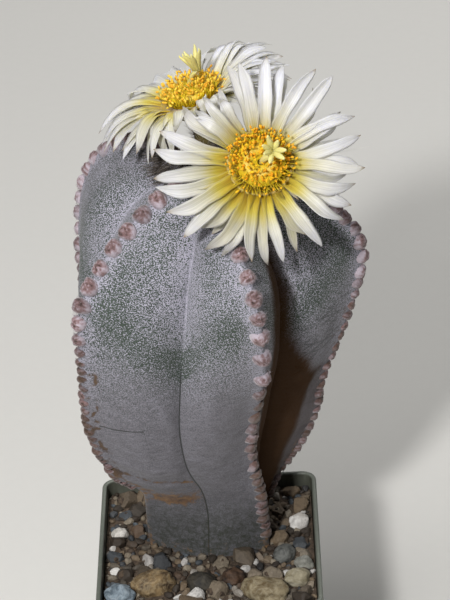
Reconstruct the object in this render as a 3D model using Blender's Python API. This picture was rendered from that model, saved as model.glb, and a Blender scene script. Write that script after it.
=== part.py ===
"""Potted bishop's cap cactus with two open flowers.

A square plastic pot filled with gritty compost carries one five-ribbed cactus stem. The
stem leans a little, swells over a narrow foot, and carries woolly areoles along its crests.
Two flowers stand on short scaly tubes beside the woolly crown: one faces the front, the
other faces up.

Lengths below are millimetres and angles are degrees; meshes are written in metres.
Origin: centre of the pot's underside. +Z is up and the front of the pot faces -Y.
"""
import math
import random

import bmesh
import bpy
import numpy as np
from mathutils import Matrix, Vector, noise

MM = 0.001
GAP = 0.3

# Pot: a tapered square with a stepped rim band.
POT_HEIGHT = 70.0
RIM_HALF = 35.0
RIM_WALL = 1.5
BAND_HEIGHT = 10.0
BAND_STEP = 1.3
FOOT_HALF = 25.0
WALL = 1.2
FLOOR = 1.8
CORNER_RADIUS = 4.5
CORNER_STEPS = 2
DRAIN_OFFSET = 15.0
DRAIN_RADIUS = 3.0
DRAIN_SIDES = 8

# Compost and grit.
SOIL_LEVEL = 65.0
GRIT_PITCH = 7.6
GRIT_SIZE = (2.2, 3.4)
GRIT_LIFT = (-0.2, 0.35)
GRIT_SPREAD = 0.3
GRIT_SEED = 11
HOLE_GROW = 0.4

# Stem: the axis leans from the soil to the shoulders, then runs straight to the crown.
AXIS_FOOT = Vector((0.0, 11.5, 66.0))
AXIS_SHOULDER = Vector((3.0, 5.5, 170.0))
CROWN = Vector((3.0, 5.0, 198.5))
SHOULDER_Z = 160.0
SIDE_LEVELS = (52, 66, 78, 87, 93, 99, 105, 113, 123, 135, 148)
SHOULDER_ROWS = 11
FLANK_STEPS = (0.0, 0.24, 0.52, 0.8, 1.0)
FLANK_SKEW = 1.3
SLIT_HALF = 0.45

# Each crest and groove is a curve of (height, distance from the axis, bearing). Bearing 0
# faces the front and 90 faces +X.
CREST_LEFT = (
    (50, 18, -72), (66, 20, -72), (80, 21, -68), (88, 22.2, -63), (93, 25, -60),
    (98, 29.8, -57), (104, 35.4, -54), (110, 39.2, -53), (118, 42.4, -52), (128, 45.6, -51),
    (145, 47.5, -50), (166, 48, -50), (174, 46.5, -50), (182.7, 38.4, -50), (190.4, 28.4, -50),
    (196, 17, -50), (198, 8, -50),
)
CREST_FRONT = (
    (50, 19, 62), (66, 21, 62), (80, 20.8, 59), (92, 20.8, 52), (104, 21.2, 43),
    (112, 22.6, 38), (122, 26.2, 34), (132, 30.6, 30.5), (142, 35.6, 27.5), (153, 41, 25),
    (165, 45.2, 22), (175.5, 47.8, 20), (183, 46.6, 19), (190, 40.6, 18), (197, 31, 18),
    (202, 20, 18), (202.5, 9, 18),
)
CREST_RIGHT = (
    (50, 19, 118), (66, 21, 118), (76, 23.4, 116), (86, 28, 111), (97, 32.6, 105),
    (108, 35.8, 101), (119, 36.6, 98), (130, 39, 95), (141, 42.2, 94), (155, 46.3, 94),
    (169, 48, 94), (176, 46, 94), (184, 41, 94), (193, 33.5, 94), (200, 24, 94),
    (203.5, 13, 94), (202, 6, 94),
)
CREST_BACK = (
    (50, 16.5, 174), (66, 18.8, 174), (80, 20.5, 172), (93, 25, 169), (106, 33, 167),
    (120, 39.4, 166), (138, 44, 166), (160, 46, 166), (172, 45.5, 166), (183, 41, 166),
    (193, 33.5, 166), (201, 23, 166), (204, 13, 166), (202, 6, 166),
)
CREST_FAR_LEFT = (
    (50, 17, 230), (66, 19.5, 230), (80, 20.5, 231), (93, 25, 234), (106, 33, 237),
    (120, 40, 238), (135, 43.8, 238), (150, 45.3, 238), (168, 44.8, 238), (181, 43.2, 238),
    (189, 41.2, 238), (196, 37, 238), (202, 30.5, 238), (206.5, 21, 238), (206, 11, 238),
    (202, 5, 238),
)
GROOVE_FRONT = (
    (50, 13.5, -1), (66, 14, -1), (80, 12.8, -1), (88, 13.2, -5), (95, 16.5, -9),
    (101, 20.5, -12), (108, 24.5, -14), (116, 28, -14.5), (128, 30.5, -15), (143, 31, -13.5),
    (154, 31, -12), (164, 30.5, -10), (173, 28.5, -9), (181, 26, -7), (188, 22, -4),
    (194, 14, -6), (197.5, 6, -10),
)
GROOVE_RIGHT = (
    (50, 13, 90), (66, 13.5, 90), (80, 13, 88), (95, 14, 80), (108, 16, 72),
    (120, 18, 66), (135, 20.5, 61), (150, 21.5, 58), (166, 22, 57), (177, 21, 57),
    (187, 17.5, 57), (194, 11.5, 57), (198, 5, 57),
)
GROOVE_BACK_RIGHT = (
    (50, 12.5, 146), (66, 13, 146), (84, 13.5, 144), (100, 16, 138), (115, 20, 133),
    (130, 24.5, 131), (150, 27.5, 130), (168, 27.5, 130), (180, 24.5, 130), (190, 18.5, 130),
    (196, 11, 130), (198.5, 5, 130),
)
GROOVE_BACK_LEFT = (
    (50, 12.5, 202), (66, 13, 202), (84, 13.5, 202), (100, 17, 202), (115, 22, 202),
    (130, 25.5, 202), (150, 28, 202), (168, 28, 202), (180, 25.5, 202), (190, 20, 202),
    (197, 12, 202), (199, 5, 202),
)
GROOVE_LEFT = (
    (50, 13, 259), (66, 13.5, 259), (84, 14, 262), (97, 17, 268), (108, 21.5, 272),
    (120, 25, 274), (135, 28, 274), (150, 29.5, 274), (168, 29, 274), (180, 26, 274),
    (190, 20, 274), (196.5, 12, 274), (198.5, 5, 274),
)
CRESTS = (CREST_LEFT, CREST_FRONT, CREST_RIGHT, CREST_BACK, CREST_FAR_LEFT)
GROOVES = (GROOVE_FRONT, GROOVE_RIGHT, GROOVE_BACK_RIGHT, GROOVE_BACK_LEFT, GROOVE_LEFT)
BULGE_BY_HEIGHT = ((50, 0.05), (80, 0.08), (100, 0.12), (125, 0.17), (150, 0.17), (175, 0.13),
                   (190, 0.1), (210, 0.06))

# Areoles: wide apart on the shoulders, crowded and flattened lower down.
AREOLE_START = 9.0
AREOLE_PITCH_TOP = 7.0
AREOLE_PITCH_LOW = 6.4
AREOLE_CROWD_Z = 158.0
AREOLE_LAST_Z = 71.0
AREOLE_WIDTH = 1.85
AREOLE_LENGTH_TOP = 1.75
AREOLE_LENGTH_LOW = 1.3
AREOLE_PROUD = 1.1
AREOLE_ROOT = 1.6
AREOLE_SIDES = 4

# Wool in the dip of the crown.
WOOL_RADIUS = 6.2
WOOL_HEIGHT = (1.6, 3.6)
WOOL_SEED = 5
WOOL_CLEAR = 0.7

# Flowers. Each stands on a seat raised from the stem and faces along its own axis.
FRONT_CENTRE = Vector((21.5, -20.0, 216.6))
FRONT_AXIS = Vector((0.03, -0.84, 0.54))
FRONT_SEAT = Vector((15.5, 3.2, 203.4))
FRONT_SEAT_AXIS = Vector((0.25, -0.3, 0.92))
REAR_CENTRE = Vector((1.0, 14.5, 225.0))
REAR_AXIS = Vector((-0.268, 0.063, 0.961))
REAR_SEAT = Vector((5.0, 14.2, 203.6))
REAR_SEAT_AXIS = Vector((0.02, 0.1, 1.0))
FRAME_UP = Vector((0.04, 0.53, 0.85))
SEAT_RADIUS = 3.5
SEAT_PROUD = 0.9
CORE_BOTTOM = -12.8
DISH_RADIUS = 8.6
DISH_FLOOR = -5.6
CORE_SIDES = 12
CORE_PROFILE = (
    (2.9, CORE_BOTTOM), (3.9, -10.6), (6.6, -7.6), (9.2, -5.7), (9.8, -5.1), (9.5, -4.9),
    (DISH_RADIUS, -4.9), (DISH_RADIUS - 0.5, DISH_FLOOR),
)
TEPAL_WIDTH = 3.5
TEPAL_THICKNESS = 0.75
TEPAL_STEPS = (0.12, 0.42, 0.82)
TEPAL_ROOT = (6.0, -8.2)
TEPAL_RISE = (10.5, -3.2)
TEPAL_ARCH = (15.0, 0.62, 2.8)
TEPAL_ROOT_SHARE = 0.42
TEPAL_WIDEST = 0.66
TEPAL_TAPER = 1.9
LAYER_DROP = 0.8

# Tepals of the front flower: bearing in the flower's own plane, reach, and layer counted
# from the inside. The last number lifts the tip along the flower's axis.
FRONT_TEPALS = (
    (101, 30.0, 0, -2.0), (107, 30.5, 1, -3.0), (88, 30.5, 0, -2.0), (80, 31.0, 2, -4.0),
    (61, 31.5, 0, -1.0), (51, 32.0, 1, -1.0), (33, 28.0, 1, -2.0), (27, 30.5, 0, -1.0),
    (15, 30.5, 1, -1.5), (-1, 29.0, 2, -2.0), (-7, 30.5, 0, -1.0), (-18, 28.5, 1, -3.0),
    (-29, 28.5, 2, -2.5), (-41, 30.0, 0, -1.5), (-54, 30.0, 1, -1.0), (-65, 24.0, 2, -2.5),
    (-76, 29.5, 0, -1.0), (-88, 29.5, 1, -0.5), (-98, 29.5, 0, -0.5), (-109, 29.5, 1, -0.5),
    (-118, 30.5, 0, -1.0), (-128, 26.0, 2, -2.5), (-136, 30.0, 1, -1.5), (-146, 31.0, 0, -1.0),
    (-154, 25.0, 2, -2.5), (-162, 30.0, 1, -1.5), (-171, 30.0, 2, -2.0), (179, 30.5, 0, -1.0),
    (163, 31.0, 1, -1.5), (153, 27.5, 2, -2.0), (144, 23.0, 1, -1.0), (134, 25.0, 0, 2.5),
    (122, 23.0, 2, 1.5),
)

# Tepals of the rear flower follow a rule: evenly spread, drooping on its left side, and
# short and upturned where the front flower stands close.
REAR_TEPAL_COUNT = 31
REAR_REACH = 30.5
REAR_SEED = 23
REAR_CROWDED = (236.0, 334.0)

STAMEN_COUNT = 26
STAMEN_SEED = 3
STAMEN_FLOOR = DISH_FLOOR + 1.5
STAMEN_ROOTS = (1.8, 6.5)
STAMEN_TIPS = (2.4, 9.1)
FILAMENT_PROFILE = ((0.0, 0.25), (0.74, 0.3), (1.0, 0.62))
GOLDEN_ANGLE = math.radians(137.508)
STYLE_RADIUS = 0.8
STYLE_HOLE = 1.15
STYLE_LOBES = 5
FRONT_STYLE_TOP = 2.2
REAR_STYLE_TOP = 5.5
LOBE_PATH = ((0.4, -0.2, 0.4), (1.5, 1.7, 0.42), (2.4, 3.4, 0.3))

# Tube of each flower, with small scales.
TUBE_RADIUS = (2.5, 3.2)
TUBE_SECTIONS = 5
TUBE_SIDES = 8
SCALES_PER_SECTION = 3

# Larger stones on the grit: name, x, y, half sizes, turn, colour.
STONES = (
    ("stone_ochre", -17.4, -17.0, (6.6, 4.8, 4.4), 12, (0.47, 0.29, 0.12)),
    ("stone_blue_grey", -27.9, -21.8, (4.7, 4.3, 3.5), -20, (0.27, 0.31, 0.37)),
    ("stone_cream", 17.2, -22.6, (7.8, 4.9, 4.4), -28, (0.62, 0.5, 0.3)),
    ("stone_pale", 27.2, -16.2, (4.2, 3.4, 3.1), 15, (0.66, 0.6, 0.46)),
    ("stone_grey", 23.6, -4.2, (3.9, 3.2, 3.0), 40, (0.3, 0.31, 0.3)),
    ("stone_oval", 29.6, -8.8, (3.0, 2.5, 2.5), 0, (0.62, 0.62, 0.56)),
    ("stone_quartz_right", 28.8, 12.6, (3.4, 3.0, 2.9), 30, (0.8, 0.78, 0.76)),
    ("stone_quartz_left", -28.9, 9.6, (2.8, 2.4, 2.4), 50, (0.8, 0.79, 0.78)),
    ("stone_dark", -2.2, -17.4, (5.0, 3.9, 3.4), -8, (0.07, 0.065, 0.06)),
    ("stone_brown", 7.4, -14.6, (3.7, 3.2, 3.0), 25, (0.13, 0.09, 0.06)),
)
STONE_SUNK = 0.35
SEAT_GAP = 0.36


def clear_scene():
    """Remove every object that the scene starts with."""
    for item in list(bpy.data.objects):
        bpy.data.objects.remove(item, do_unlink=True)


def make_material(name, colour, roughness, metallic=0.0):
    """Return a Principled material of one colour."""
    material = bpy.data.materials.new(name)
    material.use_nodes = True
    shader = material.node_tree.nodes["Principled BSDF"]
    shader.inputs["Base Color"].default_value = (*colour, 1.0)
    shader.inputs["Roughness"].default_value = roughness
    shader.inputs["Metallic"].default_value = metallic
    return material


def build_object(name, points, faces, material=None, smooth=None):
    """Return an object made from points in millimetres and faces of point numbers."""
    mesh = bpy.data.meshes.new(name)
    mesh.from_pydata([tuple(MM * value for value in point) for point in points], [], faces)
    mesh.validate()
    editable = bmesh.new()
    editable.from_mesh(mesh)
    bmesh.ops.recalc_face_normals(editable, faces=editable.faces[:])
    bmesh.ops.triangulate(editable, faces=editable.faces[:])
    editable.to_mesh(mesh)
    editable.free()
    item = bpy.data.objects.new(name, mesh)
    bpy.context.scene.collection.objects.link(item)
    if material is not None:
        mesh.materials.append(material)
    if smooth is not None:
        mesh.shade_smooth()
        mesh.set_sharp_from_angle(angle=math.radians(smooth))
    return item


def apply_boolean(item, operation, operands, solver="EXACT"):
    """Apply one Boolean with a collection of operands, then remove the operands."""
    group = bpy.data.collections.new(item.name + "_operands")
    bpy.context.scene.collection.children.link(group)
    for operand in operands:
        group.objects.link(operand)
    modifier = item.modifiers.new("join", "BOOLEAN")
    modifier.operation = operation
    modifier.operand_type = "COLLECTION"
    modifier.collection = group
    modifier.solver = solver
    bpy.context.view_layer.update()
    graph = bpy.context.evaluated_depsgraph_get()
    result = bpy.data.meshes.new_from_object(item.evaluated_get(graph))
    item.modifiers.remove(modifier)
    old = item.data
    item.data = result
    bpy.data.meshes.remove(old)
    item.data.name = item.name
    for operand in operands:
        bpy.data.objects.remove(operand, do_unlink=True)
    bpy.data.collections.remove(group)
    keep_outer_shell(item)
    return item


def keep_outer_shell(item):
    """Keep a mesh's largest shell, which fills sealed hollows and drops loose scraps."""
    editable = bmesh.new()
    editable.from_mesh(item.data)
    waiting = set(editable.faces)
    shells = []
    while waiting:
        shell = [waiting.pop()]
        for face in shell:
            for edge in face.edges:
                sewn = edge.link_faces if len(edge.link_faces) == 2 else ()
                for other in sewn:
                    if other in waiting:
                        waiting.remove(other)
                        shell.append(other)
        shells.append(shell)
    shells.sort(key=len)
    extra = [face for shell in shells[:-1] for face in shell]
    bmesh.ops.delete(editable, geom=extra, context="FACES")
    editable.to_mesh(item.data)
    editable.free()


def loft(rings, close_ends=True):
    """Return the points and faces of a skin through rings of equal point counts."""
    points = [tuple(point) for ring in rings for point in ring]
    count = len(rings[0])
    faces = []
    for row in range(len(rings) - 1):
        for column in range(count):
            following = (column + 1) % count
            low = row * count
            high = low + count
            faces.append((low + column, low + following, high + following, high + column))
    if close_ends:
        faces.append(tuple(range(count))[::-1])
        faces.append(tuple(range(len(points) - count, len(points))))
    return points, faces


def rounded_square(half, radius, height):
    """Return one horizontal ring: a square with round corners."""
    ring = []
    for corner in range(4):
        turn = math.radians(90 * corner)
        centre = Vector((half - radius, half - radius, 0.0))
        for step in range(CORNER_STEPS + 1):
            angle = math.radians(90.0 * step / CORNER_STEPS)
            offset = Vector((math.cos(angle), math.sin(angle), 0.0)) * radius
            point = Matrix.Rotation(turn, 3, "Z") @ (centre + offset)
            ring.append((point.x, point.y, height))
    return ring


def axis_point(height):
    """Return the stem axis at a height."""
    share = (height - AXIS_FOOT.z) / (AXIS_SHOULDER.z - AXIS_FOOT.z)
    share = min(max(share, 0.0), 1.0)
    point = AXIS_FOOT.lerp(AXIS_SHOULDER, share)
    return Vector((point.x, point.y, height))


def polar(height, distance, bearing):
    """Return a point at a distance and bearing from the stem axis."""
    angle = math.radians(bearing)
    return axis_point(height) + Vector((math.sin(angle), -math.cos(angle), 0.0)) * distance


def spline(points, steps):
    """Return a smooth curve through points, with equal steps in each span."""
    points = [2 * points[0] - points[1], *points, 2 * points[-1] - points[-2]]
    curve = []
    for start in range(1, len(points) - 2):
        before, here, there, after = points[start - 1:start + 3]
        span = (there - here).length
        slope_here = (there - before) * (span / ((there - here).length + (here - before).length))
        slope_there = (after - here) * (span / ((after - there).length + span))
        for step in range(steps):
            t = step / steps
            curve.append(
                here * (2 * t ** 3 - 3 * t ** 2 + 1) + slope_here * (t ** 3 - 2 * t ** 2 + t)
                + there * (3 * t ** 2 - 2 * t ** 3) + slope_there * (t ** 3 - t ** 2)
            )
    curve.append(points[-2])
    return np.array([tuple(point) for point in curve])


def ridge_curve(controls, levels, shoulder_rows):
    """Return one crest or groove: level rows up the side, then equal steps to the crown."""
    points = [polar(*control) for control in controls]
    curve = spline([*points, CROWN.copy()], 16)
    turn = int(np.argmax(curve[:, 2] > SHOULDER_Z))
    side = curve[:turn + 1]
    rows = [[np.interp(level, side[:, 2], side[:, axis]) for axis in range(3)] for level in levels]
    top = curve[turn:]
    lengths = np.concatenate([[0.0], np.cumsum(np.linalg.norm(np.diff(top, axis=0), axis=1))])
    for stop in np.linspace(0.0, lengths[-1], shoulder_rows):
        rows.append([np.interp(stop, lengths, top[:, axis]) for axis in range(3)])
    return np.array(rows)


def flank(crest, groove, inside, bearing_side, steps):
    """Return columns of points from a crest to a groove, swollen outward between them.

    Near the groove each column stays clear of the upright plane through the axis and the
    groove, so that neighbouring ribs never cross.
    """
    chord = groove - crest
    along = np.gradient((crest + groove) / 2, axis=0)
    normal = np.cross(chord, along)
    size = np.linalg.norm(normal, axis=1, keepdims=True)
    normal = normal / np.maximum(size, 1e-9)
    outward = np.sum(normal * ((crest + groove) / 2 - inside), axis=1, keepdims=True)
    normal = normal * np.where(outward < 0, -1.0, 1.0)
    heights = [pair[0] for pair in BULGE_BY_HEIGHT]
    shares = [pair[1] for pair in BULGE_BY_HEIGHT]
    share = np.interp((crest[:, 2] + groove[:, 2]) / 2, heights, shares)
    swell = (share * np.linalg.norm(chord, axis=1))[:, None]
    axis = np.array([tuple(axis_point(height)) for height in groove[:, 2]])
    spoke = groove - axis
    wall = np.stack([-spoke[:, 1], spoke[:, 0], np.zeros(len(spoke))], axis=1)
    wall = bearing_side * wall / np.maximum(np.linalg.norm(wall, axis=1, keepdims=True), 1e-9)
    columns = []
    for step in steps:
        point = crest + chord * step + normal * swell * math.sin(math.pi * step ** FLANK_SKEW)
        if 0.0 < step < 1.0:
            clear = np.sum((point - axis) * wall, axis=1)
            least = SLIT_HALF * min(1.0, 4 * (1 - step))
            limit = np.minimum(least, 0.2 * np.linalg.norm(chord, axis=1) * (1 - step))
            point = point + wall * np.maximum(limit - clear, 0.0)[:, None]
        columns.append(point)
    return columns


def stem_columns(levels, shoulder_rows, steps):
    """Return the stem's surface as columns of points, going round by bearing."""
    crests = [ridge_curve(path, levels, shoulder_rows) for path in CRESTS]
    grooves = [ridge_curve(path, levels, shoulder_rows) for path in GROOVES]
    columns = []
    for number, crest in enumerate(crests):
        before = grooves[number - 1]
        after = grooves[number]
        inside = (before + after) / 2
        rising = flank(crest, before, inside, 1.0, steps)
        falling = flank(crest, after, inside, -1.0, steps)
        columns.extend(rising[:0:-1])
        columns.extend(falling[:-1])
    return columns, crests, grooves


def stem_body(name, material):
    """Return the ribbed body, closed by a flat root end and one point at the crown."""
    columns, crests, grooves = stem_columns(SIDE_LEVELS, SHOULDER_ROWS, FLANK_STEPS)
    rows = len(columns[0]) - 1
    rings = [[tuple(column[row]) for column in columns] for row in range(rows)]
    points, faces = loft(rings, close_ends=False)
    count = len(columns)
    faces.append(tuple(range(count))[::-1])
    points.append(tuple(CROWN))
    last = (rows - 1) * count
    for column in range(count):
        faces.append((last + column, last + (column + 1) % count, len(points) - 1))
    body = build_object(name, points, faces, material, smooth=50)
    return body, crests, grooves


def prism_pad(name, centre, out, along, sizes, proud, root):
    """Return a low pad that widens a little towards its sunk root."""
    side = along.cross(out).normalized()
    rings = []
    for depth, scale in ((-root, 1.25), (proud, 0.78)):
        ring = []
        for number in range(AREOLE_SIDES):
            angle = 2 * math.pi * (number + 0.5) / AREOLE_SIDES
            ring.append(
                centre + out * depth + side * (sizes[0] * scale * math.cos(angle))
                + along * (sizes[1] * scale * math.sin(angle))
            )
        rings.append(ring)
    return build_object(name, *loft(rings))


def crest_pads(number, controls, inner):
    """Return the areole pads of one crest, from the crown down to the soil."""
    points = [polar(*control) for control in controls]
    curve = spline([*points, CROWN.copy()], 16)[::-1]
    lengths = np.concatenate([[0.0], np.cumsum(np.linalg.norm(np.diff(curve, axis=0), axis=1))])
    pads = []
    stop = AREOLE_START
    while stop < lengths[-1]:
        here = Vector([np.interp(stop, lengths, curve[:, axis]) for axis in range(3)])
        ahead = Vector([np.interp(stop + 1.0, lengths, curve[:, axis]) for axis in range(3)])
        if here.z < AREOLE_LAST_Z:
            break
        young = here.z > AREOLE_CROWD_Z or stop < 60
        core = Vector([np.interp(here.z, inner[:, 2], inner[:, axis]) for axis in range(3)])
        along = (ahead - here).normalized()
        out = here - core
        out = (out - along * out.dot(along)).normalized()
        length = AREOLE_LENGTH_TOP if young else AREOLE_LENGTH_LOW
        name = "areole_{}_{}".format(number, len(pads))
        pads.append(prism_pad(name, here, out, along, (AREOLE_WIDTH, length),
                              AREOLE_PROUD, AREOLE_ROOT))
        stop += AREOLE_PITCH_TOP if young else AREOLE_PITCH_LOW
    return pads


def disc_solid(name, centre, out, profile, sides, material=None, smooth=None):
    """Return a closed turned solid from a profile of (radius, height along its axis)."""
    side = out.orthogonal().normalized()
    other = out.cross(side)
    rings = []
    for radius, height in profile:
        ring = []
        for number in range(sides):
            angle = 2 * math.pi * number / sides
            ring.append(centre + out * height + side * (radius * math.cos(angle))
                        + other * (radius * math.sin(angle)))
        rings.append(ring)
    return build_object(name, *loft(rings), material, smooth)


def make_stem():
    """Build the stem: ribbed body, areoles and the two flower seats, joined in one solid."""
    skin = make_material("grey_felted_skin", (0.34, 0.36, 0.35), 0.85)
    body, crests, grooves = stem_body("stem", skin)
    pads = []
    for number, controls in enumerate(CRESTS):
        inner = (grooves[number - 1] + grooves[number]) / 2
        pads.extend(crest_pads(number, controls, inner))
    for name, seat, out in (("seat_front", FRONT_SEAT, FRONT_SEAT_AXIS),
                            ("seat_rear", REAR_SEAT, REAR_SEAT_AXIS)):
        profile = ((SEAT_RADIUS, -4.0), (SEAT_RADIUS, 0.0), (SEAT_RADIUS - 0.5, SEAT_PROUD))
        pads.append(disc_solid(name, seat, out.normalized(), profile, 8))
    return apply_boolean(body, "UNION", pads)


def make_crown_wool():
    """Build the wool in the crown's dip: a tufted sheet that follows the stem below it."""
    wool = make_material("crown_wool_fibre", (0.16, 0.13, 0.11), 0.95)
    columns, _, _ = stem_columns(SIDE_LEVELS, 31, (0.0, 0.5, 1.0))
    chance = random.Random(WOOL_SEED)
    reach = [row for row in range(len(columns[0]) - 1)
             if all(math.hypot(column[row][0] - CROWN.x, column[row][1] - CROWN.y) < WOOL_RADIUS
                    for column in columns)]
    lower = []
    upper = []
    for order, row in enumerate(reach):
        low_ring = []
        high_ring = []
        for column in columns:
            point = Vector(column[row])
            low_ring.append(point + Vector((0.0, 0.0, WOOL_CLEAR)))
            rise = 0.9 if order == 0 else chance.uniform(*WOOL_HEIGHT)
            high_ring.append(point + Vector((0.0, 0.0, WOOL_CLEAR + rise)))
        lower.append(low_ring)
        upper.append(high_ring)
    rings = lower[::-1] + upper
    points, faces = loft(rings, close_ends=False)
    count = len(columns)
    for ring, height in ((0, WOOL_CLEAR), (len(rings) - 1, WOOL_CLEAR + 2.3)):
        points.append(tuple(CROWN + Vector((0.0, 0.0, height))))
        base = ring * count
        for column in range(count):
            faces.append((base + column, base + (column + 1) % count, len(points) - 1))
    return build_object("crown_wool", points, faces, wool)


def flower_frame(centre, axis):
    """Return the matrix from a flower's own millimetres to the part's."""
    out = axis.normalized()
    right = FRAME_UP.cross(out).normalized()
    up = out.cross(right)
    matrix = Matrix.Identity(4)
    for column, direction in enumerate((right, up, out, centre)):
        for row in range(3):
            matrix[row][column] = direction[row]
    return matrix


def place(matrix, ring):
    """Move a ring of points into the part's frame."""
    return [tuple(matrix @ Vector(point)) for point in ring]


def turned(name, matrix, profile, sides, material=None, smooth=None):
    """Return a closed solid turned about a flower's axis."""
    rings = []
    for radius, height in profile:
        ring = [(radius * math.cos(2 * math.pi * number / sides),
                 radius * math.sin(2 * math.pi * number / sides), height)
                for number in range(sides)]
        rings.append(place(matrix, ring))
    return build_object(name, *loft(rings), material, smooth)


def tepal_midline(reach, layer, lift, share):
    """Return distance from the axis and height of a tepal's middle, by its share of length."""
    drop = LAYER_DROP * layer
    least, arch_share, arch_height = TEPAL_ARCH
    handles = (TEPAL_ROOT, (TEPAL_RISE[0], TEPAL_RISE[1] - drop),
               (max(least, arch_share * reach), arch_height - drop + 0.3 * lift),
               (reach, lift - drop))
    weights = ((1 - share) ** 3, 3 * share * (1 - share) ** 2, 3 * share ** 2 * (1 - share),
               share ** 3)
    distance = sum(weight * handle[0] for weight, handle in zip(weights, handles))
    height = sum(weight * handle[1] for weight, handle in zip(weights, handles))
    return distance, height


def tepal_width(share):
    """Return the width share of a tepal: narrow root, broad shoulder, pointed tip."""
    if share < TEPAL_WIDEST:
        swell = math.sin(0.5 * math.pi * share / TEPAL_WIDEST)
        return TEPAL_ROOT_SHARE + (1.0 - TEPAL_ROOT_SHARE) * swell
    return 1.0 - ((share - TEPAL_WIDEST) / (1.0 - TEPAL_WIDEST)) ** TEPAL_TAPER


def tepal(name, matrix, bearing, reach, layer, lift):
    """Return one pointed blade with a shallow ridge on each face."""
    turn = Matrix.Rotation(math.radians(bearing), 4, "Z")
    half_thick = TEPAL_THICKNESS / 2
    rings = []
    for share in TEPAL_STEPS:
        distance, height = tepal_midline(reach, layer, lift, share)
        ahead = tepal_midline(reach, layer, lift, share + 0.02)
        slope = Vector((ahead[0] - distance, 0.0, ahead[1] - height)).normalized()
        over = Vector((-slope.z, 0.0, slope.x))
        half = 0.5 * TEPAL_WIDTH * tepal_width(share)
        middle = Vector((distance, 0.0, height))
        ring = (middle + Vector((0.0, half, 0.0)), middle + over * half_thick,
                middle + Vector((0.0, -half, 0.0)), middle - over * half_thick)
        rings.append(place(matrix @ turn, ring))
    points, faces = loft(rings, close_ends=False)
    distance, height = tepal_midline(reach, layer, lift, 1.0)
    points.append(tuple(matrix @ turn @ Vector((distance, 0.0, height))))
    faces.append((3, 2, 1, 0))
    last = 4 * (len(rings) - 1)
    for corner in range(4):
        faces.append((last + corner, last + (corner + 1) % 4, len(points) - 1))
    return build_object(name, points, faces)


def rear_tepals():
    """Return bearing, reach, layer and lift for each tepal of the rear flower."""
    chance = random.Random(REAR_SEED)
    rows = []
    for number in range(REAR_TEPAL_COUNT):
        bearing = 360.0 * number / REAR_TEPAL_COUNT + chance.uniform(-2.0, 2.0)
        layer = number % 3
        reach = REAR_REACH + chance.uniform(-1.2, 0.6)
        leftness = max(0.0, -math.cos(math.radians(bearing)))
        lift = -3.5 - 4.0 * leftness + chance.uniform(-1.0, 0.5)
        if REAR_CROWDED[0] < bearing < REAR_CROWDED[1]:
            reach = 18.0 + chance.uniform(0.0, 1.5)
            lift = 0.5 + chance.uniform(0.0, 1.0)
        rows.append((bearing, reach, layer, lift))
    return rows


def make_petals(name, matrix, rows, material):
    """Build one bloom: a funnel-shaped core with every tepal joined to it."""
    core = turned(name, matrix, CORE_PROFILE, CORE_SIDES, material, smooth=40)
    blades = [tepal("{}_{}".format(name, number), matrix, *row)
              for number, row in enumerate(rows)]
    return apply_boolean(core, "UNION", blades, solver="MANIFOLD")


def ring_solid(name, matrix, inner, outer, low, high, sides, material):
    """Return a flat ring with a plain hole."""
    points = []
    for radius, height in ((inner, low), (outer, low), (outer, high), (inner, high)):
        ring = [(radius * math.cos(2 * math.pi * number / sides),
                 radius * math.sin(2 * math.pi * number / sides), height)
                for number in range(sides)]
        points.extend(place(matrix, ring))
    faces = []
    for row in range(4):
        for column in range(sides):
            following = (column + 1) % sides
            below = row * sides
            above = ((row + 1) % 4) * sides
            faces.append((below + column, below + following, above + following, above + column))
    return build_object(name, points, faces, material)


def filament(name, matrix, bearing, foot, head):
    """Return one stamen: a thin three-sided filament that ends in a thick anther."""
    turn = Matrix.Rotation(bearing, 4, "Z")
    lean = (head - foot).normalized()
    side = Vector((0.0, 1.0, 0.0))
    over = lean.cross(side)
    rings = []
    for share, radius in FILAMENT_PROFILE:
        centre = foot.lerp(head, share)
        ring = [centre + side * (radius * math.cos(2 * math.pi * corner / 3))
                + over * (radius * math.sin(2 * math.pi * corner / 3)) for corner in range(3)]
        rings.append(place(matrix @ turn, ring))
    return build_object(name, *loft(rings))


def make_stamens(name, matrix, material):
    """Build the stamens: a ring in the dish with filaments spread by the golden angle."""
    base = ring_solid(name, matrix, STYLE_HOLE, DISH_RADIUS - 1.7, DISH_FLOOR + GAP,
                      STAMEN_FLOOR, 12, material)
    chance = random.Random(STAMEN_SEED)
    filaments = []
    for number in range(STAMEN_COUNT):
        spread = math.sqrt((number + 0.5) / STAMEN_COUNT)
        root = STAMEN_ROOTS[0] + (STAMEN_ROOTS[1] - STAMEN_ROOTS[0]) * spread
        tip = STAMEN_TIPS[0] + (STAMEN_TIPS[1] - STAMEN_TIPS[0]) * spread
        rise = chance.uniform(0.2, 1.4) - 1.2 * spread
        foot = Vector((root, 0.0, STAMEN_FLOOR - 0.7))
        head = Vector((tip, 0.0, rise))
        filaments.append(filament("{}_{}".format(name, number), matrix, GOLDEN_ANGLE * number,
                                  foot, head))
    return apply_boolean(base, "UNION", filaments)


def make_style(name, matrix, top, material):
    """Build the style: a column with spreading lobes at its top."""
    profile = ((STYLE_RADIUS, DISH_FLOOR + GAP), (STYLE_RADIUS, top),
               (STYLE_RADIUS + 0.5, top + 0.9))
    column = turned(name, matrix, profile, 8, material, smooth=40)
    lobes = []
    for number in range(STYLE_LOBES):
        turn = Matrix.Rotation(2 * math.pi * (number + 0.5) / STYLE_LOBES, 4, "Z")
        rings = []
        for distance, height, radius in LOBE_PATH:
            ring = [(distance + radius * math.cos(2 * math.pi * corner / 3),
                     radius * math.sin(2 * math.pi * corner / 3), top + height)
                    for corner in range(3)]
            rings.append(place(matrix @ turn, ring))
        lobes.append(build_object("{}_{}".format(name, number), *loft(rings)))
    return apply_boolean(column, "UNION", lobes)


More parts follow.
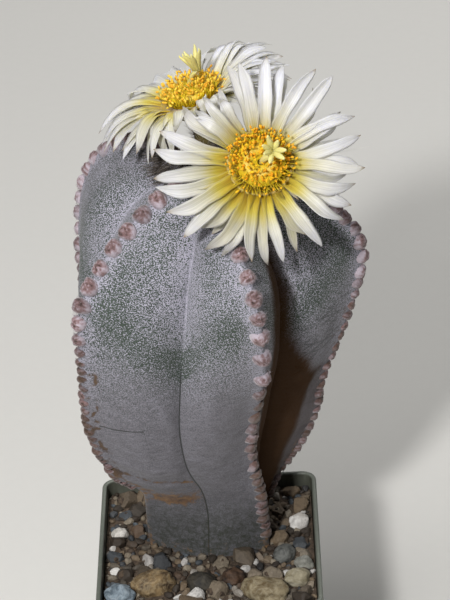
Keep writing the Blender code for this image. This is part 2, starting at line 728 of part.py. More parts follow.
def tube_scale(name, centre, heading, out_way, radius):
    """Return one small pointed scale that stands off the tube."""
    across = heading.cross(out_way)
    root = centre + out_way * (radius - 0.6)
    points = [root + across * 0.9 - heading * 0.8, root - across * 0.9 - heading * 0.8,
              root + out_way * 1.3 - heading * 0.5, root + out_way * 1.2 + heading * 1.3]
    return build_object(name, points, [(0, 1, 2), (0, 2, 3), (2, 1, 3), (1, 0, 3)])


def make_tube(name, matrix, seat, seat_axis, material):
    """Build the scaly tube from its seat on the stem to the underside of the bloom."""
    out = seat_axis.normalized()
    start = seat + out * (SEAT_PROUD + GAP)
    end = matrix @ Vector((0.0, 0.0, CORE_BOTTOM - GAP))
    end_axis = (matrix.to_3x3() @ Vector((0.0, 0.0, 1.0))).normalized()
    reach = 0.45 * (end - start).length
    handles = (start, start + out * reach, end - end_axis * reach, end)
    rings = []
    scales = []
    for section in range(TUBE_SECTIONS):
        t = section / (TUBE_SECTIONS - 1)
        weights = ((1 - t) ** 3, 3 * t * (1 - t) ** 2, 3 * t ** 2 * (1 - t), t ** 3)
        centre = sum((handle * weight for handle, weight in zip(handles, weights)), Vector())
        heading = out.lerp(end_axis, t).normalized()
        side = Vector((1.0, 0.0, 0.0)).cross(heading).normalized()
        other = heading.cross(side)
        radius = TUBE_RADIUS[0] + (TUBE_RADIUS[1] - TUBE_RADIUS[0]) * math.sin(0.5 * math.pi * t)
        rings.append([centre + side * (radius * math.cos(2 * math.pi * number / TUBE_SIDES))
                      + other * (radius * math.sin(2 * math.pi * number / TUBE_SIDES))
                      for number in range(TUBE_SIDES)])
        if section in (0, TUBE_SECTIONS - 1):
            continue
        for number in range(SCALES_PER_SECTION):
            angle = 2 * math.pi * (number + 0.5 * (section % 2)) / SCALES_PER_SECTION
            out_way = side * math.cos(angle) + other * math.sin(angle)
            scales.append(tube_scale("{}_{}_{}".format(name, section, number), centre, heading,
                                     out_way, radius))
    tube = build_object(name, *loft(rings), material, smooth=40)
    return apply_boolean(tube, "UNION", scales)


def make_flowers():
    """Build both flowers as tube, tepals, stamens and style."""
    green = make_material("flower_tube_skin", (0.24, 0.21, 0.14), 0.8)
    cream = make_material("tepal_cream", (0.86, 0.84, 0.62), 0.5)
    orange = make_material("anther_orange", (0.82, 0.42, 0.03), 0.7)
    yellow = make_material("stigma_yellow", (0.82, 0.74, 0.26), 0.5)
    sets = (("front", FRONT_CENTRE, FRONT_AXIS, FRONT_SEAT, FRONT_SEAT_AXIS, FRONT_TEPALS,
             FRONT_STYLE_TOP),
            ("rear", REAR_CENTRE, REAR_AXIS, REAR_SEAT, REAR_SEAT_AXIS, rear_tepals(),
             REAR_STYLE_TOP))
    for word, centre, axis, seat, seat_axis, rows, style_top in sets:
        matrix = flower_frame(centre, axis)
        make_tube("flower_{}_tube".format(word), matrix, seat, seat_axis, green)
        make_petals("flower_{}_tepals".format(word), matrix, rows, cream)
        make_stamens("flower_{}_stamens".format(word), matrix, orange)
        make_style("flower_{}_style".format(word), matrix, style_top, yellow)


def wall_half(height):
    """Return the outer half width of the pot below its rim band."""
    share = height / (POT_HEIGHT - BAND_HEIGHT)
    return FOOT_HALF + (RIM_HALF - BAND_STEP - 0.5 - FOOT_HALF) * share


def make_pot():
    """Build the pot: one thin tapered shell with a stepped rim band and drain holes."""
    plastic = make_material("pale_grey_polypropylene", (0.5, 0.53, 0.47), 0.45)
    band = POT_HEIGHT - BAND_HEIGHT
    corner = CORNER_RADIUS
    inner_corner = CORNER_RADIUS - WALL
    outer = ((FOOT_HALF - 0.6, corner - 0.6, 0.0), (FOOT_HALF, corner, 0.8),
             (wall_half(band - 0.6), corner, band - 0.6), (RIM_HALF - 0.4, corner, band),
             (RIM_HALF, corner, POT_HEIGHT - 0.4), (RIM_HALF - 0.35, corner, POT_HEIGHT))
    inner = ((RIM_HALF - RIM_WALL + 0.25, inner_corner, POT_HEIGHT),
             (RIM_HALF - RIM_WALL, inner_corner, POT_HEIGHT - 0.4),
             (RIM_HALF - RIM_WALL - 0.2, inner_corner, band + 1.2),
             (wall_half(band) - WALL, inner_corner, band - 0.4),
             (wall_half(FLOOR) - WALL, inner_corner, FLOOR))
    rings = [rounded_square(*row) for row in (*outer, *inner)]
    pot = build_object("pot", *loft(rings), plastic, smooth=30)
    drains = []
    for x in (-DRAIN_OFFSET, DRAIN_OFFSET):
        for y in (-DRAIN_OFFSET, DRAIN_OFFSET):
            profile = ((DRAIN_RADIUS, -1.0), (DRAIN_RADIUS, FLOOR + 1.0))
            drains.append(disc_solid("drain", Vector((x, y, 0.0)), Vector((0.0, 0.0, 1.0)),
                                     profile, DRAIN_SIDES))
    return apply_boolean(pot, "DIFFERENCE", drains)


def stone_shape(name, centre, sizes, turn, seed, grow=0.0, detail=2, material=None):
    """Return one irregular stone: a ball with seeded dents, stretched and turned."""
    editable = bmesh.new()
    bmesh.ops.create_icosphere(editable, subdivisions=detail, radius=1.0)
    rotation = Matrix.Rotation(math.radians(turn), 3, "Z")
    offset = Vector((seed * 3.7, seed * 1.9, seed * 5.3))
    for vertex in editable.verts:
        way = vertex.co.normalized()
        dent = 1.0 + 0.22 * noise.noise(way * 1.3 + offset)
        size = Vector((way.x * sizes[0], way.y * sizes[1], way.z * sizes[2])) * dent
        place_at = rotation @ (size + size.normalized() * grow) + Vector(centre)
        vertex.co = place_at * MM
    mesh = bpy.data.meshes.new(name)
    editable.to_mesh(mesh)
    editable.free()
    item = bpy.data.objects.new(name, mesh)
    bpy.context.scene.collection.objects.link(item)
    if material is not None:
        mesh.materials.append(material)
        mesh.shade_smooth()
    return item


def stone_height(sizes):
    """Return the height of a stone's centre above the pot's underside."""
    return SOIL_LEVEL + sizes[2] * (1.0 - 2 * STONE_SUNK)


def make_stones():
    """Build the larger stones, each part sunk in the grit."""
    for number, (name, x, y, sizes, turn, colour) in enumerate(STONES):
        material = make_material(name + "_rock", colour, 0.8)
        centre = (x, y, stone_height(sizes))
        stone_shape(name, centre, sizes, turn, number + 1, material=material)


def stem_outline():
    """Return the stem's outline where it meets the soil, as plan points."""
    columns, _, _ = stem_columns((SOIL_LEVEL, SOIL_LEVEL + 5), 3, FLANK_STEPS)
    return [Vector((column[0][0], column[0][1])) for column in columns]


def distance_outside(point, outline):
    """Return how far a plan point lies outside an outline, or 0 where it is inside."""
    nearest = 1e9
    inside = False
    for number, there in enumerate(outline):
        here = outline[number - 1]
        edge = there - here
        share = min(max((point - here).dot(edge) / edge.length_squared, 0.0), 1.0)
        nearest = min(nearest, (here + edge * share - point).length)
        if (here.y > point.y) != (there.y > point.y):
            crossing = here.x + (point.y - here.y) * edge.x / edge.y
            if point.x < crossing:
                inside = not inside
    return 0.0 if inside else nearest


def clear_of_stones(x, y, radius):
    """Say whether a pebble misses every larger stone."""
    for _, stone_x, stone_y, sizes, _, _ in STONES:
        reach = 0.5 * (sizes[0] + sizes[1]) + 0.4 * radius
        if math.hypot(x - stone_x, y - stone_y) < reach:
            return False
    return True


def grit():
    """Return the pebbles of the surface, on a jittered grid."""
    chance = random.Random(GRIT_SEED)
    outline = stem_outline()
    limit = RIM_HALF - RIM_WALL - GAP - GRIT_SIZE[1] - 0.4
    steps = int(2 * limit / GRIT_PITCH)
    pebbles = []
    for row in range(steps + 1):
        for column in range(steps + 1):
            x = -limit + 2 * limit * (column + chance.uniform(-GRIT_SPREAD, GRIT_SPREAD)) / steps
            y = -limit + 2 * limit * (row + chance.uniform(-GRIT_SPREAD, GRIT_SPREAD)) / steps
            radius = chance.uniform(*GRIT_SIZE)
            lift = chance.uniform(*GRIT_LIFT) * radius
            turn = chance.uniform(0.0, 180.0)
            x = min(max(x, -limit), limit)
            y = min(max(y, -limit), limit)
            if distance_outside(Vector((x, y)), outline) < 0.8 * radius:
                continue
            if not clear_of_stones(x, y, radius):
                continue
            sizes = (radius, 0.82 * radius, 0.75 * radius)
            name = "pebble_{}_{}".format(row, column)
            pebbles.append(stone_shape(name, (x, y, SOIL_LEVEL + lift), sizes, turn,
                                       row * 31 + column, detail=1))
    return pebbles


def stem_cutter():
    """Return the foot of the stem, grown all round by the clearance of its hole."""
    levels = (SOIL_LEVEL - 16, *SIDE_LEVELS[1:6])
    columns, _, _ = stem_columns(levels, 3, FLANK_STEPS)
    rings = [[tuple(column[row]) for column in columns] for row in range(len(levels))]
    cutter = build_object("stem_hole", *loft(rings))
    editable = bmesh.new()
    editable.from_mesh(cutter.data)
    bmesh.ops.recalc_face_normals(editable, faces=editable.faces[:])
    editable.normal_update()
    moves = [(vertex, vertex.normal.copy()) for vertex in editable.verts]
    for vertex, way in moves:
        way.z = 0.0
        vertex.co += way.normalized() * (HOLE_GROW * MM)
    editable.to_mesh(cutter.data)
    editable.free()
    return cutter


def make_substrate():
    """Build the compost fill with its grit, hollowed for the stem and the larger stones."""
    earth = make_material("mineral_grit", (0.2, 0.17, 0.14), 0.95)
    band = POT_HEIGHT - BAND_HEIGHT
    corner = CORNER_RADIUS - WALL - GAP
    rows = ((wall_half(FLOOR + GAP) - WALL - GAP, corner, FLOOR + GAP),
            (wall_half(band) - WALL - GAP - 0.1, corner, band - 0.3),
            (RIM_HALF - RIM_WALL - 0.25 - GAP, corner, band + 1.8),
            (RIM_HALF - RIM_WALL - 0.1 - GAP, corner, SOIL_LEVEL))
    rings = [rounded_square(*row) for row in rows]
    fill = build_object("substrate", *loft(rings), earth)
    apply_boolean(fill, "UNION", grit())
    cutters = [stem_cutter()]
    for number, (name, x, y, sizes, turn, _) in enumerate(STONES):
        centre = (x, y, stone_height(sizes))
        cutters.append(stone_shape(name + "_seat", centre, sizes, turn, number + 1, grow=SEAT_GAP))
    return apply_boolean(fill, "DIFFERENCE", cutters)


def main():
    """Build every piece."""
    clear_scene()
    make_pot()
    make_substrate()
    make_stones()
    make_stem()
    make_crown_wool()
    make_flowers()


main()
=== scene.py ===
"""Looks of a potted bishop's cap cactus with two open flowers.

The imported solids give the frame; every piece below is built around them at the same place
and size. Lengths are millimetres and angles are degrees unless a name says otherwise, and
meshes are written in metres. +Z is up and the front of the pot faces -Y.
"""

import logging
import math
import random
from collections.abc import Callable
from dataclasses import dataclass, field
from enum import Enum
from functools import partial

import bmesh
import bpy
import numpy as np
from bpy.types import Material, Node, NodeSocket, NodeTree, Object
from mathutils import Matrix, Vector, noise
from mathutils.bvhtree import BVHTree

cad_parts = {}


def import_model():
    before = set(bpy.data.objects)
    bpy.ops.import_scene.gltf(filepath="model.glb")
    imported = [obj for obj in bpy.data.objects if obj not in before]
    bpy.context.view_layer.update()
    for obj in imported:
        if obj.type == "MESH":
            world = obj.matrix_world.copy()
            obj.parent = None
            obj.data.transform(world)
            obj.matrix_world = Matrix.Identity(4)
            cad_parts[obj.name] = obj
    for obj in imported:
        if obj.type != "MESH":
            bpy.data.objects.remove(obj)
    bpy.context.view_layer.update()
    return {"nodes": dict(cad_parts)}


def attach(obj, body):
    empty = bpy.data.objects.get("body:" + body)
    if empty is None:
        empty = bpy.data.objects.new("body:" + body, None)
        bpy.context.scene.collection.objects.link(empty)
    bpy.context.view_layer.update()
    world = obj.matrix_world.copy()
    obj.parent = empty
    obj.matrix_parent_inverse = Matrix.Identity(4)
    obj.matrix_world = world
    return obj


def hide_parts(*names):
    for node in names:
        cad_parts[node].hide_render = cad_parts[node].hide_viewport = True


LOG = logging.getLogger("bishops_cap")
MM = 0.001
BODY = "root"
Adder = Callable[..., Node]

# Camera at the photograph's angle.
CAMERA_AZIMUTH = 1.25
CAMERA_ELEVATION = 32.0
CAMERA_ROLL = 3.02
CAMERA_PLACE = Vector((0.0229, -0.6368, 0.5571))
CAMERA_LENS = 151.14
CAMERA_SENSOR = 36.0

# Stem axis: it leans from the soil to the shoulders, then runs straight to the crown.
AXIS_FOOT = Vector((0.0, 11.5, 66.0))
AXIS_SHOULDER = Vector((3.0, 5.5, 170.0))
CROWN = Vector((3.0, 5.0, 198.5))

# Each crest and groove is a curve of (height, distance from the axis, bearing). Bearing 0
# faces the front and 90 faces +X.
CREST_LEFT = (
    (50, 18, -72), (66, 20, -72), (80, 21, -68), (88, 22.2, -63), (93, 25, -60),
    (98, 29.8, -57), (104, 35.4, -54), (110, 39.2, -53), (118, 42.4, -52), (128, 45.6, -51),
    (145, 47.5, -50), (166, 48, -50), (174, 46.5, -50), (182.7, 38.4, -50), (190.4, 28.4, -50),
    (196, 17, -50), (198, 8, -50),
)
CREST_FRONT = (
    (50, 19, 62), (66, 21, 62), (80, 20.8, 59), (92, 20.8, 52), (104, 21.2, 43),
    (112, 22.6, 38), (122, 26.2, 34), (132, 30.6, 30.5), (142, 35.6, 27.5), (153, 41, 25),
    (165, 45.2, 22), (175.5, 47.8, 20), (183, 46.6, 19), (190, 40.6, 18), (197, 31, 18),
    (202, 20, 18), (202.5, 9, 18),
)
CREST_RIGHT = (
    (50, 19, 118), (66, 21, 118), (76, 23.4, 116), (86, 28, 111), (97, 32.6, 105),
    (108, 35.8, 101), (119, 36.6, 98), (130, 39, 95), (141, 42.2, 94), (155, 46.3, 94),
    (169, 48, 94), (176, 46, 94), (184, 41, 94), (193, 33.5, 94), (200, 24, 94),
    (203.5, 13, 94), (202, 6, 94),
)
CREST_BACK = (
    (50, 16.5, 174), (66, 18.8, 174), (80, 20.5, 172), (93, 25, 169), (106, 33, 167),
    (120, 39.4, 166), (138, 44, 166), (160, 46, 166), (172, 45.5, 166), (183, 41, 166),
    (193, 33.5, 166), (201, 23, 166), (204, 13, 166), (202, 6, 166),
)
CREST_FAR_LEFT = (
    (50, 17, 230), (66, 19.5, 230), (80, 20.5, 231), (93, 25, 234), (106, 33, 237),
    (120, 40, 238), (135, 43.8, 238), (150, 45.3, 238), (168, 44.8, 238), (181, 43.2, 238),
    (189, 41.2, 238), (196, 37, 238), (202, 30.5, 238), (206.5, 21, 238), (206, 11, 238),
    (202, 5, 238),
)
GROOVE_FRONT = (
    (50, 13.5, -1), (66, 14, -1), (80, 12.8, -1), (88, 13.2, -5), (95, 16.5, -9),
    (101, 20.5, -12), (108, 24.5, -14), (116, 28, -14.5), (128, 30.5, -15), (143, 31, -13.5),
    (154, 31, -12), (164, 30.5, -10), (173, 28.5, -9), (181, 26, -7), (188, 22, -4),
    (194, 14, -6), (197.5, 6, -10),
)
GROOVE_RIGHT = (
    (50, 13, 90), (66, 13.5, 90), (80, 13, 88), (95, 14, 80), (108, 16, 72),
    (120, 18, 66), (135, 20.5, 61), (150, 21.5, 58), (166, 22, 57), (177, 21, 57),
    (187, 17.5, 57), (194, 11.5, 57), (198, 5, 57),
)
GROOVE_BACK_RIGHT = (
    (50, 12.5, 146), (66, 13, 146), (84, 13.5, 144), (100, 16, 138), (115, 20, 133),
    (130, 24.5, 131), (150, 27.5, 130), (168, 27.5, 130), (180, 24.5, 130), (190, 18.5, 130),
    (196, 11, 130), (198.5, 5, 130),
)
GROOVE_BACK_LEFT = (
    (50, 12.5, 202), (66, 13, 202), (84, 13.5, 202), (100, 17, 202), (115, 22, 202),
    (130, 25.5, 202), (150, 28, 202), (168, 28, 202), (180, 25.5, 202), (190, 20, 202),
    (197, 12, 202), (199, 5, 202),
)
GROOVE_LEFT = (
    (50, 13, 259), (66, 13.5, 259), (84, 14, 262), (97, 17, 268), (108, 21.5, 272),
    (120, 25, 274), (135, 28, 274), (150, 29.5, 274), (168, 29, 274), (180, 26, 274),
    (190, 20, 274), (196.5, 12, 274), (198.5, 5, 274),
)
CRESTS = (CREST_LEFT, CREST_FRONT, CREST_RIGHT, CREST_BACK, CREST_FAR_LEFT)
GROOVES = (GROOVE_FRONT, GROOVE_RIGHT, GROOVE_BACK_RIGHT, GROOVE_BACK_LEFT, GROOVE_LEFT)

# How far a flank swells at each height, as a share of its width.
BULGE_BY_HEIGHT = ((50, 0.05), (80, 0.08), (100, 0.12), (125, 0.17), (150, 0.17), (175, 0.13),
                   (190, 0.1), (210, 0.06))

# Millimetres that stand for no fold or mark near a point.
FAR_OFF = 9.0

# Pot and compost.
POT_HEIGHT = 70.0
RIM_HALF = 35.0
RIM_WALL = 1.5
BAND_HEIGHT = 10.0
BAND_STEP = 1.3
FOOT_HALF = 25.0
WALL = 1.2
FLOOR = 1.8
CORNER_RADIUS = 4.5
DRAIN_OFFSET = 15.0
DRAIN_RADIUS = 3.0
GAP = 0.3
SOIL_LEVEL = 65.0
GRIT_PITCH = 7.6
GRIT_SIZE = (2.2, 3.4)
GRIT_LIFT = (-0.2, 0.35)
GRIT_SPREAD = 0.3
GRIT_SEED = 11
STONE_SUNK = 0.35

# Flowers.
FRAME_UP = Vector((0.04, 0.53, 0.85))
SEAT_PROUD = 0.9
CORE_BOTTOM = -12.8
DISH_FLOOR = -5.6
DISH_RADIUS = 8.6
CORE_PROFILE = (
    (2.9, CORE_BOTTOM), (3.9, -10.6), (6.6, -7.6), (9.2, -5.7), (9.8, -5.1), (9.5, -4.9),
    (DISH_RADIUS, -4.9), (DISH_RADIUS - 0.5, DISH_FLOOR),
)
TEPAL_ROOT = (6.0, -8.2)
TEPAL_RISE = (10.5, -3.2)
TEPAL_ARCH = (15.0, 0.62, 2.8)
TEPAL_WIDEST = 0.66
LAYER_DROP = 0.8
GOLDEN_ANGLE = math.radians(137.508)

# Tepals of the front flower: bearing in the flower's own plane, reach, and layer counted
# from the inside. The last number lifts the tip along the flower's axis.
FRONT_TEPALS = (
    (101, 30.0, 0, -2.0), (107, 30.5, 1, -3.0), (88, 30.5, 0, -2.0), (80, 31.0, 2, -4.0),
    (61, 31.5, 0, -1.0), (51, 32.0, 1, -1.0), (33, 28.0, 1, -2.0), (27, 30.5, 0, -1.0),
    (15, 30.5, 1, -1.5), (-1, 29.0, 2, -2.0), (-7, 30.5, 0, -1.0), (-18, 28.5, 1, -3.0),
    (-29, 28.5, 2, -2.5), (-41, 30.0, 0, -1.5), (-54, 30.0, 1, -1.0), (-65, 24.0, 2, -2.5),
    (-76, 29.5, 0, -1.0), (-88, 29.5, 1, -0.5), (-98, 29.5, 0, -0.5), (-109, 29.5, 1, -0.5),
    (-118, 30.5, 0, -1.0), (-128, 26.0, 2, -2.5), (-136, 30.0, 1, -1.5), (-146, 31.0, 0, -1.0),
    (-154, 25.0, 2, -2.5), (-162, 30.0, 1, -1.5), (-171, 30.0, 2, -2.0), (179, 30.5, 0, -1.0),
    (163, 31.0, 1, -1.5), (153, 27.5, 2, -2.0), (144, 23.0, 1, -1.0), (134, 25.0, 0, 2.5),
    (122, 23.0, 2, 1.5),
)

# Larger stones on the grit: node, x, y, half sizes, turn.
STONES = (
    ("stone_ochre", -17.4, -17.0, (6.6, 4.8, 4.4), 12),
    ("stone_blue_grey", -27.9, -21.8, (4.7, 4.3, 3.5), -20),
    ("stone_cream", 17.2, -22.6, (7.8, 4.9, 4.4), -28),
    ("stone_pale", 27.2, -16.2, (4.2, 3.4, 3.1), 15),
    ("stone_grey", 23.6, -4.2, (3.9, 3.2, 3.0), 40),
    ("stone_oval", 29.6, -8.8, (3.0, 2.5, 2.5), 0),
    ("stone_quartz_right", 28.8, 12.6, (3.4, 3.0, 2.9), 30),
    ("stone_quartz_left", -28.9, 9.6, (2.8, 2.4, 2.4), 50),
    ("stone_dark", -2.2, -17.4, (5.0, 3.9, 3.4), -8),
    ("stone_brown", 7.4, -14.6, (3.7, 3.2, 3.0), 25),
)


class Slot(Enum):
    """The record's material slots."""

    PLASTIC = "pale_grey_polypropylene"
    GRIT = "mineral_grit"
    PEBBLE = "pebble"
    SKIN = "grey_felted_skin"
    WOOL = "crown_wool_fibre"
    TUBE = "flower_tube_skin"
    TEPAL = "tepal_cream"
    ANTHER = "anther_orange"
    STIGMA = "stigma_yellow"


def linear(code: str) -> tuple[float, float, float, float]:
    """Turn an sRGB hex colour to linear values.

    Args:
        code: Colour such as "#a0b1c2".

    Returns:
        Linear red, green, blue and an alpha of one.
    """
    shares = [int(code[start:start + 2], 16) / 255 for start in (1, 3, 5)]
    red, green, blue = [share / 12.92 if share <= 0.04045 else ((share + 0.055) / 1.055) ** 2.4
                        for share in shares]
    return red, green, blue, 1.0


def per_mm(size: float) -> float:
    """Return the texture scale that gives a pattern this many millimetres wide."""
    return 1.0 / (size * MM)


def feed(tree: NodeTree, socket: NodeSocket, value: object) -> None:
    """Set an input to a value, or link it.

    Args:
        tree: Node tree that holds the input.
        socket: The input.
        value: Number, hex colour, output, or a node whose first output in use is meant.
    """
    if isinstance(value, Node):
        value = next(output for output in value.outputs if output.enabled)
    if isinstance(value, NodeSocket):
        tree.links.new(value, socket)
    else:
        socket.default_value = linear(value) if isinstance(value, str) else value


def add_node(tree: NodeTree, kind: str, *values: object, stops: tuple = (),
             **named: object) -> Node:
    """Add one shader node with its settings and links.

    Args:
        tree: Node tree that takes the node.
        kind: Blender's name of the node type without its first word, ShaderNode.
        values: What the inputs in use take, in their order.
        stops: Positions and hex colours of a colour ramp.
        named: Inputs by their names in small letters, and settings of the node.

    Returns:
        The new node.
    """
    node = tree.nodes.new("ShaderNode" + kind)
    for name, value in named.items():
        title = name.replace("_", " ").title()
        if title in node.inputs:
            feed(tree, node.inputs[title], value)
        else:
            setattr(node, name, value)
    for socket, value in zip([socket for socket in node.inputs if socket.enabled], values):
        feed(tree, socket, value)
    if stops:
        elements = node.color_ramp.elements
        elements.remove(elements[1])
        elements[0].position = stops[0][0]
        elements[0].color = linear(stops[0][1])
        for position, code in stops[1:]:
            elements.new(position).color = linear(code)
    return node


def read_parts(add: Adder, name: str) -> list[NodeSocket]:
    """Return the three parts of a vector that the mesh holds at each point."""
    return list(add("SeparateXYZ", add("Attribute", attribute_name=name).outputs["Vector"]).outputs)


@dataclass(frozen=True)
class Finish:
    """A finish of one real material, made as a procedural shader."""

    name: str

    def make(self) -> Material:
        """Make the material.

        Returns:
            The finished material.
        """
        material = bpy.data.materials.new(self.name)
        material.use_nodes = True
        tree = material.node_tree
        shader = tree.nodes["Principled BSDF"]
        for name, value in self.dress(partial(add_node, tree)).items():
            feed(tree, shader.inputs[name], value)
        return material

    def dress(self, add: Adder) -> dict[str, object]:
        """Work out what a Principled shader takes.

        Args:
            add: Adds a node to the material.

        Returns:
            Value, node or socket for each input by name.
        """
        raise NotImplementedError


@dataclass(frozen=True)
class FeltedSkin(Finish):
    """Waxy cactus skin under tufts of white felt.

    The felt gives the eye a grey stone-like bloom with green showing between the flecks. The
    mesh's "skin" attribute holds how dense the felt is, how corky the skin is and how much wear
    it shows, with painted shade on the far-left rib; "rib" holds millimetres to the crest and
    to the groove and the height; "marks" holds millimetres from the crack, the waist fold and the
    scratches; a fourth attribute is one where painted shade with brown staining darkens the faces
    beside the right groove.
    """

    flesh: str = "#2f3831"
    flesh_light: str = "#444f45"
    felt: str = "#a6a3b0"
    worn_flesh: str = "#514f53"
    worn_felt: str = "#7e7c84"
    # Painted shade in the grooves' slits, and the colour of cracks and scratches.
    crease_shade_and_crack: str = "#1d211c"
    # Darker colour towards the foot.
    foot_dark: str = "#2d3125"
    # Painted shade with brown staining on the faces beside the right groove.
    tan_and_shade_brown: str = "#3f2a15"
    cork_dark: str = "#2c1f15"
    cork_mid: str = "#6a4c30"
    cork_light: str = "#8f6c40"
    fleck_mm: float = 0.25
    patch_mm: float = 14.0
    stria_mm: float = 1.1
    flake_mm: float = 1.8
    bark_mm: float = 2.4

    def line(self, add: Adder, distance: NodeSocket, near: float, far: float) -> Node:
        """Mask what lies close to a line.

        Args:
            add: Adds a node to the material.
            distance: The signed distance in millimetres.
            near: Distance up to which the mask is 1.
            far: Distance from which it is 0.

        Returns:
            The mask.
        """
        away = add("Math", distance, operation="ABSOLUTE")
        return add("MapRange", away, far, near, interpolation_type="SMOOTHSTEP")

    def flecks(self, add: Adder, place: NodeSocket, density: NodeSocket) -> Node:
        """Mask the white flecks.

        Args:
            add: Adds a node to the material.
            place: The object's own coordinates.
            density: The felt's density.

        Returns:
            The mask.
        """
        warp = add("TexNoise", place, per_mm(1.6), detail=1.0)
        shift = add("VectorMath", warp.outputs["Color"], 0.5 * MM, operation="SCALE")
        warped = add("VectorMath", place, shift, operation="ADD")
        laid = add("Mapping", warped, scale=(0.72, 0.72, 1.15))
        fleck = add("TexNoise", laid, per_mm(self.fleck_mm), detail=0.0)
        level = add("Math", density, -0.26, 0.6, operation="MULTIPLY_ADD")
        upper = add("Math", level, 0.09, operation="ADD")
        return add("MapRange", fleck, level, upper, interpolation_type="SMOOTHSTEP")

    def dress(self, add: Adder) -> dict[str, object]:
        """Lay flecks, striae of old skin, painted shade in the grooves and beside the right groove,
        a darker foot, cork and cracks on the skin.

        Args:
            add: Adds a node to the material.

        Returns:
            What the shader takes.
        """
        place = add("TexCoord").outputs["Object"]
        rib = add("Attribute", attribute_name="rib").outputs["Vector"]
        tan_and_shade = add("Attribute", attribute_name="tan_and_shade").outputs["Fac"]
        density, cork, wear_and_shade = read_parts(add, "skin")
        _, to_groove, height = add("SeparateXYZ", rib).outputs
        crack, waist, scratch = read_parts(add, "marks")
        mask = self.flecks(add, place, density)
        patch = add("TexNoise", place, per_mm(self.patch_mm), detail=3.0)
        green = add("Mix", patch, self.flesh, self.flesh_light, data_type="RGBA")
        fresh = add("Mix", mask, green, self.felt, data_type="RGBA")
        across = add("Mapping", rib, scale=(0.22, 0.22, 1.0), rotation=(0.0, 0.28, 0.0))
        stria = add("TexNoise", across, 1 / self.stria_mm, detail=4.0, roughness=0.62)
        fleck_share = add("Math", mask, 0.5, operation="MULTIPLY")
        stria_share = add("MapRange", stria, 0.3, 0.72, to_max=0.5)
        old_share = add("Math", fleck_share, stria_share, operation="ADD")
        old = add("Mix", old_share, self.worn_flesh, self.worn_felt, data_type="RGBA")
        worn_edge = add("Math", patch, 0.5, -0.25, operation="MULTIPLY_ADD")
        worn_share = add("Math", wear_and_shade, worn_edge, operation="ADD", use_clamp=True)
        body = add("Mix", worn_share, fresh, old, data_type="RGBA")
        young = add("MapRange", height, 154.0, 162.0, to_max=0.4, interpolation_type="SMOOTHSTEP")
        pale = add("Math", self.line(add, to_groove, 0.1, 0.9), young, operation="MULTIPLY")
        lined = add("Mix", pale, body, self.felt, data_type="RGBA")
        # Painted shade: a dark line down the bottom of each groove below about 154 mm, where the
        # slit lies in shade. Cracks and scratches take the same dark colour.
        grown = add("MapRange", height, 154.0, 147.0, to_max=0.9, interpolation_type="SMOOTHSTEP")
        dark = add("Math", self.line(add, to_groove, 0.05, 0.34), grown, operation="MULTIPLY")
        faint = add("Math", self.line(add, scratch, 0.1, 0.6), 0.5, operation="MULTIPLY")
        thin = add("Math", faint, self.line(add, crack, 0.05, 0.3), operation="MAXIMUM")
        shade_and_cracks = add("Math", dark, thin, operation="MAXIMUM")
        shaded_and_cracked = add("Mix", shade_and_cracks, lined, self.crease_shade_and_crack, data_type="RGBA")
        # Darker, flaked colour towards the foot, from about 97 mm down.
        foot = add("MapRange", height, 97.0, 72.0, to_max=0.8, interpolation_type="SMOOTHSTEP")
        flake = add("TexNoise", place, per_mm(self.flake_mm), detail=5.0, roughness=0.75,
                    distortion=0.6)
        flaked = add("MapRange", flake, 0.38, 0.62, 0.45, 1.15)
        foot_darkening = add("Math", foot, flaked, operation="MULTIPLY", use_clamp=True)
        foot_darkened = add("Mix", foot_darkening, shaded_and_cracked, self.foot_dark, data_type="RGBA")
        # Painted shade with brown staining: the faces beside the right groove turn dark brown.
        brown = add("Math", tan_and_shade, 0.94, operation="MULTIPLY")
        sheltered = add("Mix", brown, foot_darkened, self.tan_and_shade_brown, data_type="RGBA")
        colour = self.lay_cork(add, place, sheltered, cork, waist, height)
        relief = add("Math", mask, 0.5, stria, operation="MULTIPLY_ADD")
        return {
            "Base Color": colour,
            "Normal": add("Bump", height=relief, strength=0.55, distance=0.22 * MM),
            # Less specular and sheen where that painted shade lies, so it stays dark brown.
            "Specular IOR Level": add("Math", tan_and_shade, -0.46, 0.5, operation="MULTIPLY_ADD"),
            "Sheen Weight": add("Math", tan_and_shade, -0.1, 0.1, operation="MULTIPLY_ADD"),
            "Roughness": 0.82, "IOR": 1.42,
        }

    def lay_cork(self, add: Adder, place: NodeSocket, body: Node, cork: NodeSocket,
                 waist: NodeSocket, height: NodeSocket) -> Node:
        """Lay bark and brown scars over the skin's colour.

        Args:
            add: Adds a node to the material.
            place: The object's own coordinates.
            body: The colour under the bark.
            cork: How corky the skin is.
            waist: The distance from the waist fold.
            height: The height in millimetres.

        Returns:
            The colour.
        """
        blotch = add("TexNoise", place, per_mm(self.bark_mm), detail=5.0, roughness=0.7)
        bark = add("ValToRGB", blotch, stops=((0.32, self.cork_dark), (0.5, self.cork_mid),
                                              (0.7, self.cork_light)))
        upper = add("MapRange", height, 98.0, 108.0, to_max=0.72)
        dimmed = add("Mix", upper, bark, self.cork_dark, data_type="RGBA")
        total = add("Math", self.line(add, waist, 0.2, 1.3), 0.5, cork, operation="MULTIPLY_ADD")
        edge = add("Math", blotch, 1.7, -0.85, operation="MULTIPLY_ADD")
        level = add("Math", total, edge, operation="ADD")
        mask = add("MapRange", level, 0.26, 0.7, to_max=0.94, interpolation_type="SMOOTHSTEP")
        return add("Mix", mask, body, dimmed, data_type="RGBA")


